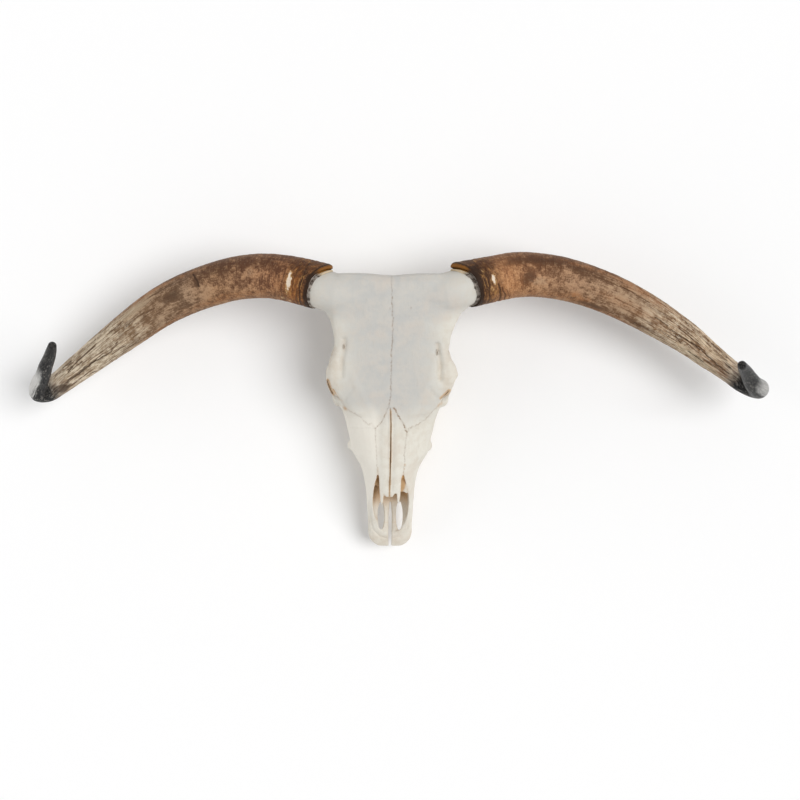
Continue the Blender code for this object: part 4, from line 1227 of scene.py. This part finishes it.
def sheath(name, rows, mouth, patches, cracks, seed):
    """One horn's sheath, with its relief, and its cracks and patches as colours on its points."""
    line, reach = horn_line(rows)
    length = reach[-1]
    # stations: how far along, how far in from the outer skin, and a share of the radius that closes the ends
    inner = [(SHEATH_HOLLOW + 12, SHEATH_WALL, 0), (SHEATH_HOLLOW + 9, SHEATH_WALL + 6, 0.55)]
    for u in np.arange(SHEATH_HOLLOW, 2, -3):
        inner.append((u, min(MOUTH_WALL + u * 0.07, SHEATH_WALL + u * 0.02), 1))
    lip = [(1.0, MOUTH_WALL, 1), (0.3, MOUTH_WALL * 0.8, 1), (0, MOUTH_WALL * 0.5, 1)]
    lip += [(0.3, 0.7, 1), (1.0, 0.2, 1)]
    outer = [(u, 0, 1) for u in np.arange(2.6, length, HORN_STEP)]
    dome = np.radians((12, 28, 44, 60, 75, 90))
    tip = [(length + rows[-1][3] * math.sin(a) * 0.95, 0, math.cos(a)) for a in dome]
    stations = np.array(inner + lip + outer + tip, float)
    inside = np.arange(len(stations)) < len(inner) + 2
    signed = np.where(inside, -stations[:, 0], stations[:, 0])
    mesh, ring_of, turn = wrapped_grid(name, signed, len(stations), HORN_ROUND)
    u, inset, share = stations[ring_of].T
    within = inside[ring_of]
    beyond = np.maximum(u - length, 0)
    angle = angle_of(turn)

    def on_line(table):
        """The rows of a table that lies along the middle line, at each of the grid's points."""
        return np.stack([np.interp(np.clip(u, 0, length), reach, column) for column in table.T], 1)

    centre = on_line(line)
    ahead, nose, over = (on_line(axis) for axis in horn_axes(line))
    out = outward(over, nose, angle)
    round_by = angle * centre[:, 3]
    shift = mouth_edge(mouth, angle) * np.clip(1 - u / MOUTH_FADE, 0, 1) * centre[:, 3]
    spots = np.stack((u + shift, round_by), 1)

    def size_at(along):
        return np.interp(along, reach, line[:, 3])

    def spread(points):
        """Points of (along, across) as millimetres along the horn and round it."""
        return [(along, math.asin(across) * size_at(along)) for along, across in points]

    # broad swellings, growth rings that are strongest at the head, flutes, and layers that have come off
    fibres_end, flakes_end, relief_end = ((length - early, length - late) for early, late in TIP_SMOOTHS)
    weathered = smooth(*DRIED, u) * smooth(*fibres_end[::-1], u)
    base = np.exp(-u / 55)
    rise = 0.45 * noise_round(u, turn, 45, 1.2, seed) + 0.25 * noise_round(u, turn, 16, 2.6, seed + 1)
    rise += (0.25 + 0.9 * base) * noise_round(u, turn, 4.6, 0.45, seed + 2) * smooth(560, 500, u)
    flutes = noise_round(u, turn, 85, 6.5, seed + 3) + 0.6 * noise_round(u, turn, 38, 15, seed + 4)
    rise += weathered * 0.75 * flutes + smooth(60, 200, u) * 0.12 * flutes
    flakes = noise_round(u, turn, 70, 3.4, seed + 5) + 0.35 * noise_round(u, turn, 9, 12, seed + 6)
    layer = smooth(0.05, 0.13, flakes) * (0.25 + 0.75 * weathered) * smooth(*flakes_end[::-1], u)
    rise -= layer * 0.45

    # the cracks, and the shallow splits, which stay clear of the line where the grid's edges meet
    dark = np.zeros(len(u))
    for points, width, depth in cracks:
        groove = beside(spots, wandering(spread(points), 1.5, seed + depth, 9, 3), width)
        rise -= groove * depth
        dark = np.maximum(dark, groove * min(1, depth))
    draw = np.random.default_rng(seed)
    off_seam = smooth(math.pi, math.pi - 0.3, np.abs(angle))
    for _ in range(SPLITS):
        start = SPLITS_END - SPLITS_BACK * draw.random() ** 1.6
        where, long = draw.uniform(-math.pi, math.pi), draw.uniform(14, 75)
        width, depth = draw.uniform(0.6, 1.0), draw.uniform(0.25, 0.8)
        size = size_at(start)
        points = ((start - long, where * (size + 3)), (start, (where + draw.uniform(-0.08, 0.08)) * size))
        groove = beside(spots, wandering(points, 0.8, seed + long, 14, 3), width, 4) * off_seam
        rise -= groove * depth
        dark = np.maximum(dark, groove * (0.35 + depth * 0.6))

    # the patches, of which the white ones lie a little lower
    marks = np.zeros((len(u), 4))
    marks[:, 0] = dark
    for along, across, half_along, half_round, which, strength in patches:
        ((_, middle),) = spread([(along, across)])
        wobble = noise_round(u, turn, 11, 6, seed + 9 + which) * 0.35
        wobble += noise_round(u, turn, 4, 14, seed + 13) * 0.2
        away = np.hypot((spots[:, 0] - along) / half_along, (round_by - middle) / half_round) + wobble
        patch = smooth(1.7, 0.3, away) * strength
        marks[:, which] = np.maximum(marks[:, which], patch)
        if which == WHITE:
            rise -= patch * FLECK_DEPTH
    rise = np.where(within, 0.3 * noise_round(u, turn, 20, 3, seed + 20), np.minimum(rise - 0.9, -0.1))
    rise = np.where(within, rise, rise * (1 - 0.75 * smooth(*relief_end, u)))

    # the mouth: its back curls in, and its edge is ragged, in the same way all through the wall
    fall = 1 - np.sqrt(1 - np.clip(1 - u / LIP_REACH, 0, 1) ** 2)
    curl = LIP_CURL * fall * at_back(angle) ** 2
    ragged = 0.35 * noise_round(u * 0, turn, 1, 9, seed + 7)
    ragged += 0.65 * noise_round(u * 0, turn, 1, 3, seed + 8)
    radius = (centre[:, 3] - inset + rise - curl) * share
    onward = shift * (share > 0) + beyond + ragged * 1.8 * np.exp(-u / 6)
    points = centre[:, :3] + out * radius[:, None] + ahead * onward[:, None]
    move_to(mesh, points * MM)
    colours = mesh.color_attributes.new(MARKS, "FLOAT_COLOR", "POINT")
    marks[within] = 0
    colours.data.foreach_set("color", marks.ravel())
    return finished_mesh(welded(mesh), name)


def lie_of(finish, size):
    """Where a point lies on a wrapped grid: how far along and how far round, how far down and towards the
    nose from -1 to 1, and its place on a straight tube of that size, so that noise has no seam."""
    lie = finish.node("ShaderNodeUVMap", {"uv_map": LIE})
    along, turn = finish.axis(lie, 0), finish.axis(lie, 1)
    angle = turn * (2 * math.pi)
    under, across = finish.maths("COSINE", angle), finish.maths("SINE", angle)
    place = finish.node("ShaderNodeCombineXYZ", None, {0: along, 1: under * size, 2: across * size})
    return along, turn, under, across, place


def horn_finish(name, tones, tip_highlight):
    """Horn: mottled brown near the head, bleached and fibrous further out, black and smooth at the tip."""
    horn = Finish(name, Specular_IOR_Level=0.22)
    u, turn, under, across, spot = lie_of(horn, 0.04)
    marks = horn.attribute(MARKS)
    dark, pale, amber = (horn.channel(marks, k) for k in range(3))
    white = horn.attribute(MARKS, "Alpha")
    mottle = horn.noise(spot, 42, 6, 0.68)
    blotch = horn.noise(spot, 125, 5, 0.7)
    fleck = horn.noise(spot, 330, 5, 0.75)
    rings = horn.noise(horn.stretched(spot, (1, 0.22, 0.22)), 290, 5, 0.72)
    scratch = horn.noise(horn.stretched(spot, (0.16, 1, 1)), 300, 5, 0.72)
    fibre = horn.noise(horn.stretched(spot, (0.06, 1, 1)), 250, 5, 0.72)
    thread = horn.noise(horn.stretched(spot, (0.05, 1, 1)), 560, 4, 0.75)
    # the part near the head, the dry part and the tip, which fade into each other
    near = horn.step(u + (mottle - 0.5) * 0.2, 0.30, 0.13)
    far = horn.step(u + (mottle - 0.5) * 0.12, 0.31, 0.43)
    tip = horn.step(u + (fibre - 0.5) * 0.05 + (mottle - 0.5) * 0.03, 0.552, 0.583)
    # the broad tones, and the patches on them
    along = (u + (mottle - 0.5) * 0.05) * (1 / TONES_REACH)
    light_tone, dark_tone = (horn.ramp(along, stops) for stops in tones)
    further_out = (1 - far) * (scratch * 0.6 + fleck * 0.4) + far * fibre
    fine = near * (rings * 0.45 + fleck * 0.55) + (1 - near) * further_out
    tone = horn.step(mottle * 0.4 + blotch * 0.3 + fine * 0.45 - dark * 0.14 + pale * 0.12, 0.50, 0.66)
    colour = horn.mix(tone, dark_tone, light_tone)
    off = across + (mottle - 0.5) * 0.7 + (blotch - 0.5) * 0.4
    back = horn.step(off * -1, 0.3, 0.95) * horn.step(u, 0.33, 0.2)
    colour = horn.mix(back * 0.5, colour, tint(80, 48, 29))
    front = horn.step(off, 0.35, 0.9) * horn.step(u, 0.30, 0.12) * horn.step(u, 0.03, 0.07)
    colour = horn.mix(front * 0.35, colour, tint(172, 130, 88))
    colour = horn.mix(amber * horn.step(blotch, 0.3, 0.62) * 0.75, colour, tint(160, 98, 46))
    colour = horn.mix(horn.step(pale + (fleck - 0.5) * 0.7, 0.25, 0.8) * 0.6, colour, tint(170, 153, 128))
    # fine streaks, dark and light
    colour = horn.mix(horn.step(fine, 0.52, 0.38) * (0.44 - tone * 0.14), colour, tint(70, 44, 28))
    colour = horn.mix(horn.step(fine, 0.52, 0.66) * 0.4, colour, tint(200, 168, 132))
    colour = horn.mix(horn.step(blotch, 0.45, 0.33) * near * 0.4, colour, tint(74, 43, 26))
    cream = far * horn.step(thread + (blotch - 0.5) * 0.4, 0.48, 0.60)
    colour = horn.mix(cream * 0.7, colour, tint(224, 210, 186))
    colour = horn.mix(far * horn.step(thread, 0.47, 0.38) * 0.75, colour, tint(76, 52, 32))
    # the dark rim of the mouth, and the dark and golden bands beside it
    streaks = horn.step(rings + (blotch - 0.5) * 0.6, 0.50, 0.60) * horn.step(u, 0.075, 0.03)
    colour = horn.mix(streaks * 0.7, colour, tint(58, 33, 15))
    golden = horn.step(rings, 0.46, 0.36) * horn.step(u, 0.07, 0.03)
    colour = horn.mix(golden * 0.6, colour, tint(196, 146, 84))
    rim = horn.step(u + (blotch - 0.5) * 0.018 + (rings - 0.5) * 0.008, 0.0105, 0.006)
    rim = rim * horn.step(u, -0.002, 0.0)
    amber_part = horn.step(turn + (blotch - 0.5) * 0.06, 0.59, 0.65) * horn.step(turn, 0.84, 0.78)
    lip = amber_part * horn.step(u + (blotch - 0.5) * 0.01 + (fleck - 0.5) * 0.006, 0.0055, 0.0025)
    colour = horn.mix(rim * 0.93, colour, horn.mix(lip * 0.8, tint(44, 26, 12), tint(144, 92, 30)))
    # the cracks and splits, and the white flecks with their tan edges
    ragged = dark + (blotch - 0.5) * 0.6 + (fine - 0.5) * 0.9
    colour = horn.mix(horn.step(ragged, 0.3, 0.95) * 0.8, colour, tint(50, 32, 20))
    peeled_off = white + (fleck - 0.5) * 1.1 + (rings - 0.5) * 1.1
    colour = horn.mix(horn.step(peeled_off, 0.3, 0.55) * 0.7, colour, tint(196, 150, 92))
    colour = horn.mix(horn.step(peeled_off, 0.5, 0.85) * 0.92, colour, tint(233, 219, 200))
    # the black tip, scratched, flecked partly with painted glints, a painted white highlight on top, and the
    # mouth's lining
    scratched = horn.step(scratch * 0.5 + thread * 0.5, 0.54, 0.62)
    black = horn.mix(scratched * 0.6, tint(7, 7, 7), tint(90, 86, 82))
    # pale flecks on the tip, partly painted glints
    flecks_and_glints = horn.step(blotch * 0.6 + fleck * 0.4, 0.54, 0.575)
    black = horn.mix(flecks_and_glints * 0.7, black, tint(150, 145, 138))
    # a painted white highlight on the tip
    wear_and_highlight = horn.step(under + (scratch - 0.5) * 1.6 + (fleck - 0.5) * 0.8, 0.4, 0.8)
    wear_and_highlight = wear_and_highlight * horn.step(u, 0.69, 0.65) * (tip_highlight + horn.step(thread, 0.46, 0.54) * 0.32)
    colour = horn.mix(tip, colour, horn.mix(wear_and_highlight, black, tint(232, 230, 226)))
    deep = horn.step(u + (blotch - 0.5) * 0.006, -0.006, -0.012)
    lining = horn.mix(deep, tint(168, 106, 22), tint(190, 150, 96))
    lining = horn.mix(horn.step(u, -0.0026, -0.0012), lining, tint(84, 46, 12))
    colour = horn.mix(horn.step(u, 0.0, -0.001), colour, lining)
    horn.set(Base_Color=colour, Roughness=0.62 + fleck * 0.2 - tip * 0.34 - white * 0.3 - near * 0.12)
    height = (fibre - 0.5) * (0.0011 * far + 0.0001) + (thread - 0.5) * (0.0006 * far + 0.0001)
    rough = (rings - 0.5) * 0.0009 * near + (fleck - 0.5) * 0.0007 + (blotch - 0.5) * 0.001
    horn.raised(height + rough * (1 - tip) - dark * 0.0006)
    return horn.material


# The colours along each horn, light and dark, between which its mottling goes to and fro: a share of
# TONES_REACH metres, red, green and blue. The tip highlights are how strong the painted white highlight
# is on the top of each tip.
TONES_REACH = 0.76
LEFT_TIP_HIGHLIGHT, RIGHT_TIP_HIGHLIGHT = 0.62, 0.3
LEFT_TONES = (
    (
        (0.0, 120, 76, 40), (0.04, 166, 110, 60), (0.08, 172, 122, 82), (0.12, 176, 128, 90),
        (0.18, 180, 138, 102), (0.25, 176, 136, 100), (0.33, 166, 136, 108), (0.42, 170, 142, 114),
        (0.5, 182, 158, 130), (0.6, 222, 206, 182), (0.7, 236, 220, 196), (1.0, 150, 146, 140),
    ),
    (
        (0.0, 52, 30, 17), (0.04, 90, 52, 25), (0.08, 102, 64, 41), (0.14, 102, 66, 44),
        (0.25, 104, 72, 49), (0.33, 104, 78, 57), (0.42, 116, 88, 64), (0.5, 124, 98, 72),
        (0.6, 156, 134, 108), (0.7, 162, 136, 108), (1.0, 60, 56, 52),
    ),
)
RIGHT_TONES = (
    (
        (0.0, 104, 66, 36), (0.05, 150, 104, 64), (0.09, 204, 152, 106), (0.14, 188, 138, 96),
        (0.2, 186, 144, 108), (0.28, 176, 138, 106), (0.35, 176, 144, 114), (0.45, 176, 148, 120),
        (0.54, 182, 154, 124), (0.62, 216, 192, 162), (0.7, 212, 186, 154), (1.0, 150, 146, 140),
    ),
    (
        (0.0, 46, 28, 15), (0.05, 90, 56, 32), (0.09, 166, 114, 76), (0.14, 122, 80, 50),
        (0.22, 110, 74, 48), (0.3, 106, 76, 52), (0.4, 116, 84, 58), (0.5, 114, 84, 58),
        (0.6, 124, 92, 64), (0.7, 126, 92, 62), (1.0, 60, 56, 52),
    ),
)
for label, rows, mouth, patches, cracks, tones, tip_highlight, seed in (
    ("left", LEFT_HORN, LEFT_MOUTH, LEFT_PATCHES, LEFT_CRACKS, LEFT_TONES, LEFT_TIP_HIGHLIGHT, 31),
    ("right", RIGHT_HORN, RIGHT_MOUTH, RIGHT_PATCHES, RIGHT_CRACKS, RIGHT_TONES, RIGHT_TIP_HIGHLIGHT, 52),
):
    horn = sheath("sheath_" + label, rows, mouth, patches, cracks, seed)
    horn.data.materials.append(horn_finish("weathered_horn_" + label, tones, tip_highlight))
    horn.data.shade_smooth()
    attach(horn, "root")
    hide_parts("horn_" + label)

# --------------------------------------------------------------------------------------------------
# The frayed edges between horn and bone: where the sheath grew from the skin its oldest layers have dried
# into grey flakes round the core. They are thin collars, one inside the other, that run from the bone
# into the horn's mouth.
# Where each collar begins, from the mouth's edge on, how far it stands off the bone, and how ragged it is.
COLLARS = ((-3.8, 0.5, 1.2), (-2.4, 1.3, 1.0), (-1.0, 2.1, 0.8))
COLLAR_DEPTH = 7.0  # how far in from the mouth's edge they reach
COLLAR_LENGTH = 15  # what their pattern counts them as
COLLAR_THICK = 0.7
COLLAR_CLEAR = 1.2  # how far they stay from the sheath's wall
COLLAR_STEPS = 9
COLLAR_ROUND = 160
LEFT_SPREAD, RIGHT_SPREAD = 1.0, 1.5  # how far they spread over the bone, for what COLLARS says


def collars(name, rows, mouth_shape, spread, core_line, seed):
    """The collars of one horn as closed rings, laid over its core."""
    line, _ = horn_line(rows)
    _, nose, over = (axis[0] for axis in horn_axes(line))
    mouth, radius = line[0, :3], line[0, 3]
    start, further = (np.array(point, float) for point in core_line)
    core_ahead = (further - start) / np.linalg.norm(further - start)
    whole = bmesh.new()
    whole.loops.layers.uv.new(LIE)
    core_along, core_low, core_radius = np.array(CORE, float).T
    # stations: how far along, and whether on the outer skin
    outer = [(part, 1.0) for part in np.linspace(0, 1, COLLAR_STEPS)]
    stations = outer + [(part, 0.0) for part in np.linspace(1, 0, COLLAR_STEPS)] + [(0, 1.0)]
    lengths = [part * COLLAR_LENGTH for part, _ in stations]
    for index, (begin, off, rag) in enumerate(COLLARS):
        mesh, ring_of, turn = wrapped_grid(name, lengths, len(stations), COLLAR_ROUND)
        part, skin = np.array(stations)[ring_of].T
        angle = angle_of(turn)
        edge = mouth_edge(mouth_shape, angle) * radius
        rough = noise_round(part * 0, turn, 1, 4, seed + index)
        rough += 0.8 * noise_round(part * 0, turn, 1, 17, seed + 5 + index)
        first = (begin + rag * rough) * spread * (1 - 0.8 * at_back(angle) ** 3)
        along = edge + first + (COLLAR_DEPTH - first) * part
        low = np.interp(along, core_along, core_low)
        core = np.interp(along, core_along, core_radius)
        wall = radius - MOUTH_WALL - COLLAR_CLEAR + np.minimum(0, -low * np.sin(angle))
        wall -= LIP_CURL * at_back(angle) ** 2
        wave = 0.45 * noise_round(along, turn, 5, 9, seed + 9 + index)
        near = core + off + wave * (1 - part)
        size = near + (np.maximum(wall, near) - near) * smooth(0.25, 1, part) * 0.9 + COLLAR_THICK * skin
        out = outward(over, nose, angle)
        points = mouth + core_ahead * along[:, None] + nose * low[:, None] + out * size[:, None]
        move_to(mesh, points * MM)
        # each is joined by itself, so that none sticks to the next
        collar = welded(mesh)
        collar.to_mesh(mesh)
        collar.free()
        whole.from_mesh(mesh)
    return finished_mesh(whole, name)


flake = Finish("dried_flakes", Roughness=0.85, Specular_IOR_Level=0.2)
inward, turn, _, _, place = lie_of(flake, 0.012)
tuft = flake.noise(place, 420, 5, 0.7)
strand = flake.noise(place, 1100, 4, 0.75)
tone = flake.mix(flake.step(tuft, 0.42, 0.56), tint(66, 54, 44), tint(186, 176, 166))
tone = flake.mix(flake.step(strand, 0.5, 0.62) * 0.6, tone, tint(60, 48, 38))
bare = flake.step(turn, 0.62, 0.66) * flake.step(turn, 0.84, 0.78)
deep = flake.step(inward + (tuft - 0.5) * 0.006, 0.004, 0.0075)
golden = flake.mix(deep, tint(226, 206, 174), tint(176, 116, 26))
tone = flake.mix(bare * 0.92, tone, golden)
flake.set(Base_Color=tone)
flake.raised((tuft - 0.5) * 0.0012 + (strand - 0.5) * 0.0005)

for label, rows, mouth, spread, core_line, seed in (
    ("left", LEFT_HORN, LEFT_MOUTH, LEFT_SPREAD, CORE_LINES[0], 71),
    ("right", RIGHT_HORN, RIGHT_MOUTH, RIGHT_SPREAD, CORE_LINES[1], 85),
):
    fringe = collars("fringe_" + label, rows, mouth, spread, core_line, seed)
    fringe.data.materials.append(flake.material)
    fringe.data.shade_smooth()
    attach(fringe, "root")

# --------------------------------------------------------------------------------------------------
# Plain stage, light and camera: a pale floor, a wide soft light from the upper right, a weaker one that
# comes in low from the left, and even light from all round. The camera hangs straight above, with the
# skull's nose towards the bottom of the frame.
CAMERA_HEIGHT = 3.0
LENS = 69.7
FLOOR_HALF = 6.0
FLOOR_TONE = 0.97
EVEN_LIGHT = 0.46
# Each light's name, strength, width in degrees, and how far it leans from straight above towards the right.
LIGHTS = (("key", 1.85, 38, 32), ("low fill", 0.75, 60, -74))
LIGHT_TURN = 2

stage = bmesh.new()
bmesh.ops.create_grid(stage, x_segments=1, y_segments=1, size=FLOOR_HALF)
floor = finished_mesh(stage, "floor")
pale = (FLOOR_TONE, FLOOR_TONE, FLOOR_TONE, 1)
floor.data.materials.append(Finish("floor", Base_Color=pale, Roughness=0.9, Specular_IOR_Level=0.1).material)

world = bpy.data.worlds.new("even light")
world.use_nodes = True
world.node_tree.nodes["Background"].inputs["Color"].default_value = (1, 1, 1, 1)
world.node_tree.nodes["Background"].inputs["Strength"].default_value = EVEN_LIGHT
bpy.context.scene.world = world
for name, energy, angle, tilt in LIGHTS:
    lamp = bpy.data.lights.new(name, "SUN")
    lamp.energy = energy
    lamp.angle = math.radians(angle)
    light = bpy.data.objects.new(name, lamp)
    light.rotation_euler = (0, math.radians(tilt), math.radians(LIGHT_TURN))
    bpy.context.scene.collection.objects.link(light)

view = bpy.data.cameras.new("above")
view.lens = LENS
above = bpy.data.objects.new("above", view)
above.location = (0, 0, CAMERA_HEIGHT)
bpy.context.scene.collection.objects.link(above)
bpy.context.scene.camera = above
bpy.context.scene.view_settings.view_transform = "Standard"
